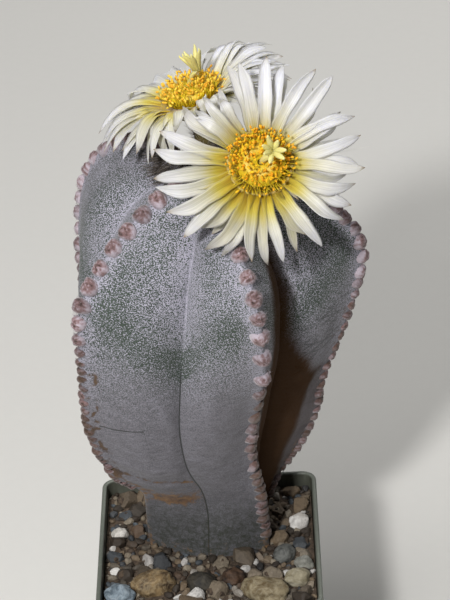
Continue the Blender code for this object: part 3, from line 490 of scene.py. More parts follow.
@dataclass(frozen=True)
class Wool(Finish):
    """Matted plant hair.

    It gives the eye a dull, soft-edged tuft. The mesh's "grow" attribute holds the place from
    root to tip, a stain share and a random tone.
    """

    root: str
    body: str
    tip: str
    stain: str = "#7a5526"
    matt_mm: float = 0.5
    patchy: float = 0.5

    def dress(self, add: Adder) -> dict[str, object]:
        """Lay root-to-tip colour, stains and matting on the hair.

        Args:
            add: Adds a node to the material.

        Returns:
            What the shader takes.
        """
        along, stain, tone = read_parts(add, "grow")
        place = add("TexCoord").outputs["Object"]
        matting = add("TexNoise", place, per_mm(self.matt_mm), detail=4.0, roughness=0.7)
        spread = add("Math", matting, self.patchy, -0.5 * self.patchy, operation="MULTIPLY_ADD")
        level = add("Math", along, spread, operation="ADD")
        ramp = add("ValToRGB", level, stops=((0.0, self.root), (0.45, self.body),
                                             (0.95, self.tip)))
        dirty = add("Mix", stain, ramp, self.stain, data_type="RGBA")
        shade = add("MapRange", tone, to_min=0.72, to_max=1.12)
        return {
            "Base Color": add("Mix", 1.0, dirty, shade, data_type="RGBA", blend_type="MULTIPLY"),
            "Normal": add("Bump", height=matting, strength=0.7, distance=0.3 * MM),
            "Roughness": 0.9, "Sheen Weight": 0.3,
        }


@dataclass(frozen=True)
class SilkyTepal(Finish):
    """Thin satin petal tissue.

    It gives the eye a cream blade with fine lengthwise veins, a yellow-green root and a brown
    point on some tips. "grow" holds the distance from the flower's axis as a share, the
    place across the blade and a tone that is partly random and partly painted shade and light,
    darker on the lower tepals; "under" is one on the lower face.
    """

    root: str = "#d9b41c"
    throat: str = "#e2cf58"
    blade: str = "#e6e2c8"
    top: str = "#f2f1ee"
    under_stripe: str = "#8f8a5e"
    point: str = "#7a5a34"
    shadow: tuple = (0.56, 0.52, 0.4, 1.0)
    light: tuple = (1.03, 1.03, 1.04, 1.0)
    vein_count: float = 7.0

    def dress(self, add: Adder) -> dict[str, object]:
        """Lay the root-to-tip colour, veins, stripe and brown points on the blade.

        Args:
            add: Adds a node to the material.

        Returns:
            What the shader takes.
        """
        along, across, tone = read_parts(add, "grow")
        under = add("Attribute", attribute_name="under").outputs["Fac"]
        point = add("Attribute", attribute_name="point").outputs["Fac"]
        lane = add("CombineXYZ", along, across, tone)
        stretched = add("Mapping", lane, scale=(1.6, self.vein_count, 37.0))
        vein = add("TexNoise", stretched, 1.0, detail=4.0, roughness=0.6)
        wander = add("Math", vein, 0.16, -0.08, operation="MULTIPLY_ADD")
        level = add("Math", along, wander, operation="ADD")
        ramp = add("ValToRGB", level, stops=((0.28, self.root), (0.42, self.throat),
                                             (0.56, self.blade), (0.8, self.top)))
        streak = add("MapRange", vein, 0.35, 0.66, 0.76, 1.04)
        # Painted shade and light: the tone mixes from the shadow colour to the light one.
        shade = add("Mix", tone, self.shadow, self.light, data_type="RGBA")
        shaded = add("Mix", 1.0, shade, streak, data_type="RGBA", blend_type="MULTIPLY")
        veined = add("Mix", 1.0, ramp, shaded, data_type="RGBA", blend_type="MULTIPLY")
        middle = add("Math", across, operation="ABSOLUTE")
        stripe = add("MapRange", middle, 0.15, 0.75, 0.45, 0.0, interpolation_type="SMOOTHSTEP")
        striped = add("Math", stripe, under, operation="MULTIPLY")
        backed = add("Mix", striped, veined, self.under_stripe, data_type="RGBA")
        return {
            "Base Color": add("Mix", point, backed, self.point, data_type="RGBA"),
            "Normal": add("Bump", height=vein, strength=0.35, distance=0.25 * MM),
            "Roughness": 0.42, "IOR": 1.4, "Sheen Weight": 0.25, "Subsurface Weight": 0.6,
            "Subsurface Radius": (1.0, 0.95, 0.6), "Subsurface Scale": 2.0 * MM,
        }


@dataclass(frozen=True)
class PlantTissue(Finish):
    """Small fleshy parts such as filaments, anthers and stigma lobes.

    A root-to-tip colour with fine grains gives the eye pollen or papillae.
    """

    root: str
    tip: str
    grain_mm: float
    roughness: float
    glow: float

    def dress(self, add: Adder) -> dict[str, object]:
        """Lay root-to-tip colour and grain on the tissue.

        Args:
            add: Adds a node to the material.

        Returns:
            What the shader takes.
        """
        along, _, tone = read_parts(add, "grow")
        place = add("TexCoord").outputs["Object"]
        grain = add("TexNoise", place, per_mm(self.grain_mm), detail=2.0)
        base = add("Mix", along, self.root, self.tip, data_type="RGBA")
        speckle = add("Math", grain, tone, operation="ADD")
        shade = add("MapRange", speckle, 0.3, 1.7, 0.8, 1.02)
        return {
            "Base Color": add("Mix", 1.0, base, shade, data_type="RGBA", blend_type="MULTIPLY"),
            "Normal": add("Bump", height=grain, strength=0.5, distance=0.1 * MM),
            "Roughness": self.roughness, "Subsurface Weight": self.glow,
            "Subsurface Radius": (1.0, 0.8, 0.3), "Subsurface Scale": 1.2 * MM,
        }


@dataclass(frozen=True)
class MouldedPolypropylene(Finish):
    """Injection-moulded polypropylene, satin and a little chalky with use.

    It gives the eye a pale grey-green wall with faint flow marks, lime specks on the rim and
    an inside darkened by painted shade, mottled after the scuffs. The mesh's "inside" attribute
    is one on the inner wall.
    """

    plastic: str = "#666a61"
    chalk: str = "#85867e"
    # Painted shade on the inner wall.
    inner_shade: str = "#3a3a30"
    flow_mm: float = 9.0
    scuff_mm: float = 1.4

    def dress(self, add: Adder) -> dict[str, object]:
        """Lay flow marks, scuffs, lime and painted shade on the plastic.

        Args:
            add: Adds a node to the material.

        Returns:
            What the shader takes.
        """
        place = add("TexCoord").outputs["Object"]
        inside = add("Attribute", attribute_name="inside").outputs["Fac"]
        flow = add("TexNoise", place, per_mm(self.flow_mm), detail=3.0)
        stretched = add("Mapping", place, scale=(1.0, 1.0, 0.3))
        scuff = add("TexNoise", stretched, per_mm(self.scuff_mm), detail=6.0, roughness=0.72)
        chalky = add("MapRange", scuff, 0.54, 0.72, to_max=0.8, interpolation_type="SMOOTHSTEP")
        shade = add("MapRange", flow, 0.3, 0.7, 0.9, 1.05)
        wall = add("Mix", 1.0, self.plastic, shade, data_type="RGBA", blend_type="MULTIPLY")
        limed = add("Mix", chalky, wall, self.chalk, data_type="RGBA")
        # Painted shade on the inner wall, mottled after the scuffs.
        stain = add("Math", scuff, 0.25, operation="ADD")
        inner_shade_share = add("Math", stain, inside, operation="MULTIPLY", use_clamp=True)
        return {
            "Base Color": add("Mix", inner_shade_share, limed, self.inner_shade, data_type="RGBA"),
            "Roughness": add("MapRange", scuff, 0.3, 0.7, 0.36, 0.62),
            "Normal": add("Bump", height=scuff, strength=0.25, distance=0.12 * MM),
            "IOR": 1.49,
        }


@dataclass(frozen=True)
class MixedGrit(Finish):
    """Washed horticultural grit: quartz, limestone, slate and lava chips.

    Each chip's random tone picks its rock, which gives the eye the mixed gravel of a cactus
    bed. "grow" holds nothing, nothing and the tone.
    """

    rocks: tuple = ((0.0, "#d8d5cf"), (0.09, "#aaa5a0"), (0.12, "#7c7263"), (0.25, "#6b5a45"),
                    (0.4, "#4b443b"), (0.52, "#8c8170"), (0.56, "#594636"), (0.7, "#372f26"),
                    (0.82, "#2f2419"), (0.92, "#4a5157"), (1.0, "#1f1914"))
    speck_mm: float = 0.9

    def dress(self, add: Adder) -> dict[str, object]:
        """Lay the rock colours and their mottling on the chips.

        Args:
            add: Adds a node to the material.

        Returns:
            What the shader takes.
        """
        place = add("TexCoord").outputs["Object"]
        rock = add("ValToRGB", read_parts(add, "grow")[2], stops=self.rocks)
        speck = add("TexNoise", place, per_mm(self.speck_mm), detail=5.0, roughness=0.75)
        shade = add("MapRange", speck, 0.3, 0.7, 0.6, 1.15)
        return {
            "Base Color": add("Mix", 1.0, rock, shade, data_type="RGBA", blend_type="MULTIPLY"),
            "Normal": add("Bump", height=speck, strength=0.6, distance=0.25 * MM),
            "Roughness": 0.72,
        }


@dataclass(frozen=True)
class PeatMix(Finish):
    """Dry peaty compost with pumice crumbs.

    It gives the eye the dark bed between the chips of grit.
    """

    peat: str = "#2b211a"
    crumb: str = "#5b4c3d"
    pumice: str = "#a79d8c"
    crumb_mm: float = 1.3
    pumice_mm: float = 1.9

    def dress(self, add: Adder) -> dict[str, object]:
        """Lay peat, crumbs and pumice specks on the compost.

        Args:
            add: Adds a node to the material.

        Returns:
            What the shader takes.
        """
        place = add("TexCoord").outputs["Object"]
        crumb = add("TexNoise", place, per_mm(self.crumb_mm), detail=6.0, roughness=0.75)
        bed = add("ValToRGB", crumb, stops=((0.36, self.peat), (0.6, self.crumb)))
        cell = add("TexVoronoi", place, per_mm(self.pumice_mm))
        chip = add("MapRange", cell, 0.3, 0.22, to_max=0.8, interpolation_type="SMOOTHSTEP")
        pick = add("SeparateColor", cell.outputs["Color"])
        some = add("Math", pick, 0.62, operation="GREATER_THAN")
        share = add("Math", chip, some, operation="MULTIPLY")
        return {
            "Base Color": add("Mix", share, bed, self.pumice, data_type="RGBA"),
            "Normal": add("Bump", height=crumb, strength=0.9, distance=0.8 * MM),
            "Roughness": 0.95,
        }


@dataclass(frozen=True)
class WeatheredRock(Finish):
    """A water-worn or broken stone.

    Two mottled colours, a vein and fine pits give the eye its kind of rock.
    """

    dark: str
    light: str
    vein: str
    mottle_mm: float = 3.0
    vein_mm: float = 5.1
    pit_mm: float = 0.6

    def dress(self, add: Adder) -> dict[str, object]:
        """Lay mottling, veins and pits on the stone.

        Args:
            add: Adds a node to the material.

        Returns:
            What the shader takes.
        """
        place = add("TexCoord").outputs["Object"]
        mottle = add("TexNoise", place, per_mm(self.mottle_mm), detail=5.0, roughness=0.65,
                     distortion=0.6)
        body = add("ValToRGB", mottle, stops=((0.36, self.dark), (0.62, self.light)))
        band = add("TexNoise", place, per_mm(self.vein_mm), detail=2.0, distortion=1.8)
        away = add("Math", band, 0.5, operation="SUBTRACT")
        near = add("Math", away, operation="ABSOLUTE")
        line = add("MapRange", near, 0.06, 0.0, to_max=0.25, interpolation_type="SMOOTHSTEP")
        pits = add("TexNoise", place, per_mm(self.pit_mm), detail=4.0, roughness=0.7)
        return {
            "Base Color": add("Mix", line, body, self.vein, data_type="RGBA"),
            "Normal": add("Bump", height=pits, strength=0.5, distance=0.25 * MM),
            "Roughness": 0.75,
        }


@dataclass(frozen=True)
class StudioPaper(Finish):
    """Matt studio paper that gives the eye a plain pale ground."""

    paper: str = "#d6d4cf"
    tooth_mm: float = 4.0

    def dress(self, add: Adder) -> dict[str, object]:
        """Lay a faint tooth on the paper.

        Args:
            add: Adds a node to the material.

        Returns:
            What the shader takes.
        """
        place = add("TexCoord").outputs["Object"]
        tooth = add("TexNoise", place, per_mm(self.tooth_mm), detail=2.0)
        shade = add("MapRange", tooth, to_min=0.985, to_max=1.015)
        return {
            "Base Color": add("Mix", 1.0, self.paper, shade, data_type="RGBA",
                              blend_type="MULTIPLY"),
            "Roughness": 0.95,
        }


@dataclass
class Sheaf:
    """Gathers the points, faces and colour values of many small bits into one mesh.

    Points are millimetres, "grow" holds three colour values for each point, and the bits take
    their irregularity from chance.
    """

    chance: random.Random = field(default_factory=random.Random)
    points: list = field(default_factory=list)
    faces: list = field(default_factory=list)
    slots: list = field(default_factory=list)
    grow: list = field(default_factory=list)
    extra: dict = field(default_factory=dict)

    def add(self, points: list, faces: list, grow: list | tuple, slot: int = 0,
            **extra: list | float) -> None:
        """Add one bit.

        Args:
            points: Its points.
            faces: Its faces as numbers into its own points.
            grow: Three colour values for each point, or three for them all.
            slot: Material number of its faces.
            extra: More named values, a list for the points or one value for them all.
        """
        start = len(self.points)
        self.points.extend(points)
        self.faces.extend(tuple(start + number for number in face) for face in faces)
        self.slots.extend([slot] * len(faces))
        self.grow.extend([grow] * len(points) if isinstance(grow, tuple) else grow)
        for name, values in extra.items():
            values = values if isinstance(values, list) else [values] * len(points)
            self.extra.setdefault(name, []).extend(values)

    def add_hair(self, path: list[Vector], radius: float, ends: tuple, others: tuple,
                 slot: int = 0) -> None:
        """Add a fine three-sided hair that tapers to a point.

        Args:
            path: Its line from root to tip.
            radius: Its radius at the root.
            ends: First colour value at the root and at the tip.
            others: Second and third colour value.
            slot: Material number of its faces.
        """
        points = []
        spans = len(path) - 1
        for number, point in enumerate(path[:-1]):
            heading = (path[number + 1] - point).normalized()
            side = heading.orthogonal().normalized()
            size = radius * (1.0 - 0.6 * number / spans)
            points += ring(point, side, heading.cross(side), (size, size), 3)
        points.append(tuple(path[-1]))
        shares = [number // 3 / spans for number in range(len(points))]
        grow = [(ends[0] + (ends[1] - ends[0]) * share, *others) for share in shares]
        self.add(points, tube_faces(spans, 3, tip=True), grow, slot)

    def shape(self, name: str, smooth: bool = True) -> Object:
        """Make one object of every bit, with its closed shells' faces turned outward.

        Args:
            name: The object's name.
            smooth: Whether its faces are shaded smooth.

        Returns:
            The new object.
        """
        mesh = bpy.data.meshes.new(name)
        mesh.from_pydata([tuple(MM * value for value in point) for point in self.points], [],
                         self.faces)
        mesh.polygons.foreach_set("material_index", self.slots)
        mesh.polygons.foreach_set("use_smooth", [smooth] * len(self.faces))
        values = mesh.attributes.new("grow", "FLOAT_VECTOR", "POINT")
        values.data.foreach_set("vector", np.array(self.grow, dtype=float).ravel())
        for key, numbers in self.extra.items():
            more = mesh.attributes.new(key, "FLOAT", "POINT")
            more.data.foreach_set("value", np.array(numbers, dtype=float))
        mesh.validate()
        editable = bmesh.new()
        editable.from_mesh(mesh)
        bmesh.ops.recalc_face_normals(editable, faces=editable.faces[:])
        editable.to_mesh(mesh)
        editable.free()
        return show(name, mesh)

    def build(self, name: str, finishes: list[Finish], slot: Slot, *nodes: str,
              smooth: bool = True) -> None:
        """Build the finished piece of every bit.

        Args:
            name: The piece's name.
            finishes: Finish of each material number.
            slot: The record's material slot.
            nodes: CAD nodes that it replaces, if any.
            smooth: Whether its faces are shaded smooth.
        """
        settle(self.shape(name, smooth), finishes, slot, *nodes)


def show(name: str, data: bpy.types.ID) -> Object:
    """Put data into the scene.

    Args:
        name: The object's name.
        data: Mesh, light or camera.

    Returns:
        The new object.
    """
    item = bpy.data.objects.new(name, data)
    bpy.context.scene.collection.objects.link(item)
    return item


def settle(item: Object, finishes: list[Finish], slot: Slot, *nodes: str) -> None:
    """Finish a piece, let it ride on the part, and hide the CAD nodes that it replaces.

    Args:
        item: The piece.
        finishes: Finish of each material number.
        slot: The record's material slot; not used.
        nodes: CAD nodes that it replaces, if any.
    """
    for finish in finishes:
        item.data.materials.append(finish.make())
    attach(item, BODY)
    if nodes:
        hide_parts(*nodes)
    LOG.info("piece %s: %d faces", item.name, len(item.data.polygons))


def tube_faces(rings: int, sides: int, foot: bool = False, tip: bool = False) -> list:
    """Skin equal rings and close both ends.

    Args:
        rings: Number of rings.
        sides: Points in each ring.
        foot: Whether the near end comes to a point, which stands before the first ring.
        tip: Whether the far end comes to a point, which stands after the last ring.

    Returns:
        Faces as tuples of point numbers.
    """
    start = int(foot)
    last = start + (rings - 1) * sides
    turns = [(corner, (corner + 1) % sides) for corner in range(sides)]
    faces = [(low + here, low + there, low + sides + there, low + sides + here)
             for low in range(start, last, sides) for here, there in turns]
    if foot:
        faces += [(0, start + there, start + here) for here, there in turns]
    else:
        faces.append(tuple(range(sides))[::-1])
    if tip:
        faces += [(last + here, last + there, last + sides) for here, there in turns]
    else:
        faces.append(tuple(range(last, last + sides)))
    return faces


def ring(centre: Vector, side: Vector, other: Vector, sizes: tuple, sides: int) -> list[tuple]:
    """Place points on an ellipse.

    Args:
        centre: Its centre.
        side: Direction of its first half axis.
        other: Direction of its second half axis.
        sizes: Lengths of both.
        sides: Number of points.

    Returns:
        The points.
    """
    turns = [2 * math.pi * corner / sides for corner in range(sides)]
    return [tuple(centre + side * (sizes[0] * math.cos(turn)) + other * (sizes[1] * math.sin(turn)))
            for turn in turns]


def lathe(matrix: Matrix, profile: list | tuple, sides: int) -> list[tuple]:
    """Place the rings of a turned form.

    Args:
        matrix: Its frame.
        profile: Radius and height of each ring, and x and y where it is off the axis.
        sides: Points in each ring.

    Returns:
        The points, ring after ring.
    """
    points = []
    for radius, height, *off in profile:
        centre = Vector((*(off or (0.0, 0.0)), height))
        points += ring(centre, Vector((1, 0, 0)), Vector((0, 1, 0)), (radius, radius), sides)
    return [tuple(matrix @ Vector(point)) for point in points]


def bent_line(start: Vector, way: Vector, length: float, sag: Vector, steps: int
              ) -> list[Vector]:
    """Draw a line that leaves along a direction and bends.

    Args:
        start: Its first point.
        way: The direction it leaves in.
        length: Its length.
        sag: Offset that it gathers by its end.
        steps: Number of spans.

    Returns:
        The points of the line.
    """
    shares = [step / steps for step in range(steps + 1)]
    return [start + way * (length * share) + sag * share * share for share in shares]


def bezier(handles: tuple, share: float) -> np.ndarray:
    """Return the point of a cubic curve at a share of its way."""
    left = 1 - share
    return np.dot((left ** 3, 3 * share * left ** 2, 3 * share ** 2 * left, share ** 3), handles)


def frame_of(*columns: Vector) -> Matrix:
    """Return the matrix whose columns are three directions and a place."""
    return Matrix((*zip(*columns), (0.0, 0.0, 0.0, 1.0)))


def knob(detail: int, sizes: tuple, turn: Matrix, centre: Vector,
         reach: Callable[[Vector], float]) -> tuple[list, list]:
    """Dent a ball.

    Args:
        detail: Subdivisions of the ball.
        sizes: Its half sizes.
        turn: Its turn.
        centre: Its centre.
        reach: Gives how far its skin reaches in a direction, as a share of the half sizes.

    Returns:
        Points and faces.
    """
    ball = bmesh.new()
    bmesh.ops.create_icosphere(ball, subdivisions=detail, radius=1.0)
    ways = [vertex.co.normalized() for vertex in ball.verts]
    points = [tuple(turn @ (Vector(np.multiply(way, sizes)) * reach(way)) + centre)
              for way in ways]
    faces = [tuple(vertex.index for vertex in face.verts) for face in ball.faces]
    ball.free()
    return points, faces


def spline(points: list[Vector], steps: int) -> np.ndarray:
    """Draw a smooth curve through points, with equal steps in each span.

    Args:
        points: Points to pass through.
        steps: Steps in each span.

    Returns:
        The curve's points as rows.
    """
    points = [2 * points[0] - points[1], *points, 2 * points[-1] - points[-2]]
    curve = []
    for start in range(1, len(points) - 2):
        before, here, there, after = points[start - 1:start + 3]
        span = (there - here).length
        slope_here = (there - before) * (span / ((there - here).length + (here - before).length))
        slope_there = (after - here) * (span / ((after - there).length + span))
        for step in range(steps):
            t = step / steps
            curve.append(
                here * (2 * t ** 3 - 3 * t ** 2 + 1) + slope_here * (t ** 3 - 2 * t ** 2 + t)
                + there * (3 * t ** 2 - 2 * t ** 3) + slope_there * (t ** 3 - t ** 2)
            )
    curve.append(points[-2])
    return np.array([tuple(point) for point in curve])


def path_lengths(line: np.ndarray) -> np.ndarray:
    """Return the length along a line up to each of its points."""
    spans = np.linalg.norm(np.diff(line, axis=0), axis=1)
    return np.concatenate([[0.0], np.cumsum(spans)])


def axis_point(height: float) -> Vector:
    """Return the stem axis at a height."""
    share = (height - AXIS_FOOT.z) / (AXIS_SHOULDER.z - AXIS_FOOT.z)
    return Vector((*AXIS_FOOT.lerp(AXIS_SHOULDER, min(max(share, 0.0), 1.0)).xy, height))


def polar(height: float, distance: float, bearing: float) -> Vector:
    """Return a point at a distance and bearing from the stem axis."""
    angle = math.radians(bearing)
    return axis_point(height) + Vector((math.sin(angle), -math.cos(angle), 0.0)) * distance


def fade(values: np.ndarray, start: float, end: float) -> np.ndarray:
    """Return a smooth step that is 0 at start and 1 at end."""
    share = np.clip((values - start) / (end - start), 0.0, 1.0)
    return share * share * (3 - 2 * share)


def bell(values: np.ndarray, centre: float, width: float) -> np.ndarray:
    """Return a bell that is 1 at its centre."""
    return np.exp(-((values - centre) / width) ** 2)


def noise_field(points: np.ndarray, size: float, shift: float = 0.0) -> np.ndarray:
    """Work out smooth noise of about -1 to 1.

    Args:
        points: Points in millimetres, in rows.
        size: Width of the noise's lumps in millimetres.
        shift: Offset that gives another pattern.

    Returns:
        One value for each point.
    """
    flat = points.reshape(-1, 3) / size + shift
    values = [noise.noise(Vector(point)) for point in flat]
    return np.array(values).reshape(points.shape[:-1])


@dataclass
class RibbedStem:
    """The five-ribbed stem: its skin with its folds and marks, and its areoles.

    A fold holds its height and its slope, and a place holds x and height. Crests and faces are
    numbered from the left crest, over the front, to the far left one.
    """

    foot_z: float = 52.0
    shoulder_z: float = 160.0
    side_pitch: float = 1.5
    shoulder_rows: int = 58
    flank_steps: int = 22
    flank_skew: float = 1.3
    slit_half: float = 0.2
    crest_round: float = 2.0
    crowd_z: tuple = (163.0, 147.0, 158.0, 158.0, 160.0)
    areole_pitch: tuple = (
        ((155.0, 169.0, 176.0, 182.0), (3.05, 5.7, 5.7, 6.5)),
        ((66.0, 100.0, 106.0, 130.0, 138.0, 146.0, 157.0, 168.0, 175.0, 181.0, 190.0),
         (3.4, 3.6, 5.2, 6.0, 7.6, 9.8, 11.6, 10.0, 8.2, 6.6, 6.4)),
        ((100.0, 140.0, 154.0, 162.0, 168.0, 176.0, 184.0),
         (3.6, 4.2, 3.9, 4.2, 5.6, 5.2, 4.4)),
        ((150.0, 164.0), (3.05, 5.7)),
        ((152.0, 166.0), (3.05, 5.7)),
    )
    areole_size: tuple = ((0.82, 1.0), (0.95, 0.92), (0.88, 0.8), (0.9, 0.85), (0.9, 0.82))
    areole_start: float = 9.0
    areole_last_z: tuple = (95.0, 69.0, 69.0, 69.0, 69.0)
    areole_seed: int = 7
    areole_hairs: int = 34
    pad_sides: int = 22
    pad_profile: tuple = (
        (1.0, -1.6, 0.9), (1.02, -0.1, 0.85), (0.98, 0.28, 0.75), (0.88, 0.6, 0.58),
        (0.74, 0.82, 0.47), (0.56, 0.95, 0.42), (0.36, 1.03, 0.42), (0.18, 1.06, 0.42),
    )
    notch_deep: float = 0.4
    notch_half: float = 2.8
    waist_fold: tuple = (98.5, 0.39)
    waist_ledge: tuple = (105.5, 0.33)
    slant_fold: tuple = (125.5, 2.1)
    right_fold_z: float = 128.0
    right_crack_z: float = 128.5
    left_crack: tuple = (-23.0, 131.0)
    scar_place: tuple = (-9.5, 88.5)
    scratch_z: float = 148.0
    scratch_pitch: float = 3.1
    grid: np.ndarray = field(init=False)
    to_crest: np.ndarray = field(init=False)
    to_groove: np.ndarray = field(init=False)
    rib: np.ndarray = field(init=False)
    side: np.ndarray = field(init=False)
    tree: BVHTree = field(init=False)
    crest_columns: list = field(init=False, default_factory=list)
    stops: list = field(init=False, default_factory=list)
    lengths: list = field(init=False, default_factory=list)

    def curve(self, controls: tuple) -> np.ndarray:
        """Return one crest or groove as rows that match every other curve's rows.

        Args:
            controls: Height, distance and bearing of the points it passes.

        Returns:
            One point for each row of the skin.
        """
        line = spline([*(polar(*control) for control in controls), CROWN.copy()], 16)
        turn = int(np.argmax(line[:, 2] > self.shoulder_z))
        side = line[:turn + 1]
        levels = np.arange(self.foot_z, self.shoulder_z, self.side_pitch)
        rows = [[np.interp(level, side[:, 2], side[:, axis]) for axis in range(3)]
                for level in levels]
        top = line[turn:]
        lengths = path_lengths(top)
        for stop in np.linspace(0.0, lengths[-1], self.shoulder_rows):
            rows.append([np.interp(stop, lengths, top[:, axis]) for axis in range(3)])
        return np.array(rows)

    def flank_step(self, number: int) -> float:
        """Return a column's share of the way from crest to groove, crowded at both ends."""
        share = number / self.flank_steps
        return 0.7 * (1 - math.cos(math.pi * share)) / 2 + 0.3 * share

    def flank(self, crest: np.ndarray, groove: np.ndarray, inside: np.ndarray,
              side: float, fullness: float = 1.0) -> np.ndarray:
        """Return columns from a crest to a groove, swollen outward between them.

        Args:
            crest: The crest's rows.
            groove: The groove's rows.
            inside: Points inside the rib, one for each row.
            side: 1 where bearings rise towards the crest, and -1 where they fall.
            fullness: How far the flank swells, 1 for a common one.

        Returns:
            Points by row and step.
        """
        chord = groove - crest
        along = np.gradient((crest + groove) / 2, axis=0)
        normal = np.cross(chord, along)
        normal = normal / np.maximum(np.linalg.norm(normal, axis=1, keepdims=True), 1e-9)
        outward = np.sum(normal * ((crest + groove) / 2 - inside), axis=1, keepdims=True)
        normal = normal * np.where(outward < 0, -1.0, 1.0)
        share = np.interp((crest[:, 2] + groove[:, 2]) / 2, *zip(*BULGE_BY_HEIGHT))
        width = np.linalg.norm(chord, axis=1)
        axis = np.array([tuple(axis_point(height)) for height in groove[:, 2]])
        spoke = groove - axis
        wall = np.stack([-spoke[:, 1], spoke[:, 0], np.zeros(len(spoke))], axis=1)
        wall = side * wall / np.maximum(np.linalg.norm(wall, axis=1, keepdims=True), 1e-9)
        columns = []
        for number in range(self.flank_steps + 1):
            step = self.flank_step(number)
            swell = (fullness * share * width)[:, None]
            swell = swell * math.sin(math.pi * step ** self.flank_skew)
            point = crest + chord * step + normal * swell
            if 0.0 < step < 1.0:
                clear = np.sum((point - axis) * wall, axis=1)
                least = self.slit_half * min(1.0, 4 * (1 - step))
                limit = np.minimum(least, 0.2 * width * (1 - step))
                point = point + wall * np.maximum(limit - clear, 0.0)[:, None]
            columns.append(point)
        return np.stack(columns, axis=1)

    def lay_out(self) -> None:
        """Work out the skin's grid of points, its crests and where the areoles sit."""
        crests = [self.curve(path) for path in CRESTS]
        grooves = [self.curve(path) for path in GROOVES]
        parts = []
        steps = self.flank_steps
        for number, crest in enumerate(crests):
            inside = (grooves[number - 1] + grooves[number]) / 2
            fullness = -0.35 if number == 0 else 1.0
            rising = self.flank(crest, grooves[number - 1], inside, 1.0, fullness)
            falling = self.flank(crest, grooves[number], inside, -1.0)
            self.crest_columns.append(2 * steps * number + steps)
            parts.append(rising[:, :0:-1])
            parts.append(falling[:, :-1])
        self.grid = np.concatenate(parts, axis=1)
        for number, crest in enumerate(crests):
            line = path_lengths(crest)
            self.lengths.append(line[-1] - line)
            self.stops.append(self.areole_stops(number, crest))
        self.measure(crests, grooves)

    def areole_stops(self, number: int, crest: np.ndarray) -> list[float]:
        """Return the distances from the crown at which a crest's areoles sit.

        Args:
            number: Which rib.
            crest: The crest's rows.

        Returns:
            Distances along the crest from the crown.
        """
        lengths = self.lengths[number]
        stops = []
        stop = self.areole_start
        while stop < lengths[0]:
            height = float(np.interp(stop, lengths[::-1], crest[::-1, 2]))
            if height < self.areole_last_z[number]:
                break
            stops.append(stop)
            heights, pitches = self.areole_pitch[number]
            stop += pitches[-1] if stop < 25.0 else float(np.interp(height, heights, pitches))
        return stops

    def measure(self, crests: list[np.ndarray], grooves: list[np.ndarray]) -> None:
        """Round the crests and shape the skin between the areoles.

        Args:
            crests: Rows of each crest.
            grooves: Rows of each groove.
        """
        rows, columns, _ = self.grid.shape
        steps = self.flank_steps
        self.to_crest = np.zeros((rows, columns))
        self.to_groove = np.zeros((rows, columns))
        self.rib = np.zeros((rows, columns), dtype=int)
        self.side = np.zeros((rows, columns))
        phase = np.zeros((rows, columns))
        for number, column in enumerate(self.crest_columns):
            wave = np.interp(self.lengths[number], self.stops[number],
                             np.arange(len(self.stops[number])))
            for offset in range(-steps, steps):
                place = (column + offset) % columns
                groove = grooves[number - 1] if offset < 0 else grooves[number]
                width = np.linalg.norm(groove - crests[number], axis=1)
                share = self.flank_step(abs(offset))
                self.to_crest[:, place] = share * width
                self.to_groove[:, place] = (1 - share) * width
                self.rib[:, place] = number
                self.side[:, place] = -1.0 if offset < 0 else 1.0
                phase[:, place] = wave
        near = np.exp(-(self.to_crest / self.crest_round) ** 2)
        near = near * np.clip((self.to_crest + self.to_groove) / 10.0, 0.0, 1.0)
        push = self.normals()
        self.grid = self.grid + push * (0.75 * near)[..., None]
        for _ in range(5):
            middle = (np.roll(self.grid, 1, axis=1) + np.roll(self.grid, -1, axis=1)) / 2
            self.grid = self.grid + 0.55 * near[..., None] * (middle - self.grid)
        self.emboss(phase)

    def normals(self) -> np.ndarray:
        """Work out the way out of the skin.

        Returns:
            The outward normal at each point of the grid.
        """
        down = np.gradient(self.grid, axis=0)
        round_ = np.roll(self.grid, -1, axis=1) - np.roll(self.grid, 1, axis=1)
        normal = np.cross(round_, down)
        normal = normal / np.maximum(np.linalg.norm(normal, axis=2, keepdims=True), 1e-9)
        column = self.crest_columns[0]
        row = 40
        axis = np.array(tuple(axis_point(self.grid[row, column, 2])))
        sign = np.sign(np.dot(normal[row, column], self.grid[row, column] - axis))
        return normal * sign

    def emboss(self, phase: np.ndarray) -> None:
        """Press the notches, folds and lumps of grown skin into the grid.

        Args:
            phase: Count of areoles from the crown at each point.
        """
        height = self.grid[..., 2]
        low = 1.0 - fade(height, 112.0, 150.0)
        notch = np.cos(2 * math.pi * phase) * np.exp(-(self.to_crest / self.notch_half) ** 2)
        rise = self.notch_deep * notch * (1.0 - 0.3 * low) * fade(height, 66.0, 74.0)
        ripple = self.grid * np.array([0.35, 0.35, 1.6])
        rise += 0.3 * low * noise_field(ripple, 7.0, 3.1) * fade(self.to_crest, 0.5, 4.0)
        rise += 0.45 * noise_field(self.grid, 17.0, 9.7)
        rise += 0.15 * noise_field(self.grid, 4.5, 1.3)
        rise += 0.7 * self.slant()
        waist, ledge = self.folds()
        rise -= 0.9 * bell(waist, 0.0, 0.9) * fade(self.to_groove, 0, 3)
        rise += 0.7 * bell(ledge, 1.0, 2.2) * fade(self.to_groove, 0, 4)
        rise -= 0.5 * bell(ledge, -3.0, 2.5) * fade(self.to_groove, 0, 4)
        right_face = self.face(2, -1)
        rise -= 0.5 * bell(height, self.right_fold_z, 1.3) * right_face * fade(self.to_groove, 4, 14)
        rise *= np.clip(self.to_groove / 1.5, 0.0, 1.0)
        lip = 0.45 * bell(self.to_groove, 3.2, 2.0) * (1 - fade(height, 140.0, 156.0))
        rise += lip * fade(height, 84.0, 104.0)
        rise -= 0.25 * np.exp(-(self.to_groove / 0.4) ** 2) * (1 - fade(height, 147, 156))
        rise[-6:] *= 0.3
        self.grid = self.grid + self.normals() * rise[..., None]

    def face(self, rib: int, side: int) -> np.ndarray:
        """Return where the grid lies on the face of a rib on one side of its crest."""
        return (self.rib == rib) & (self.side * side > 0)

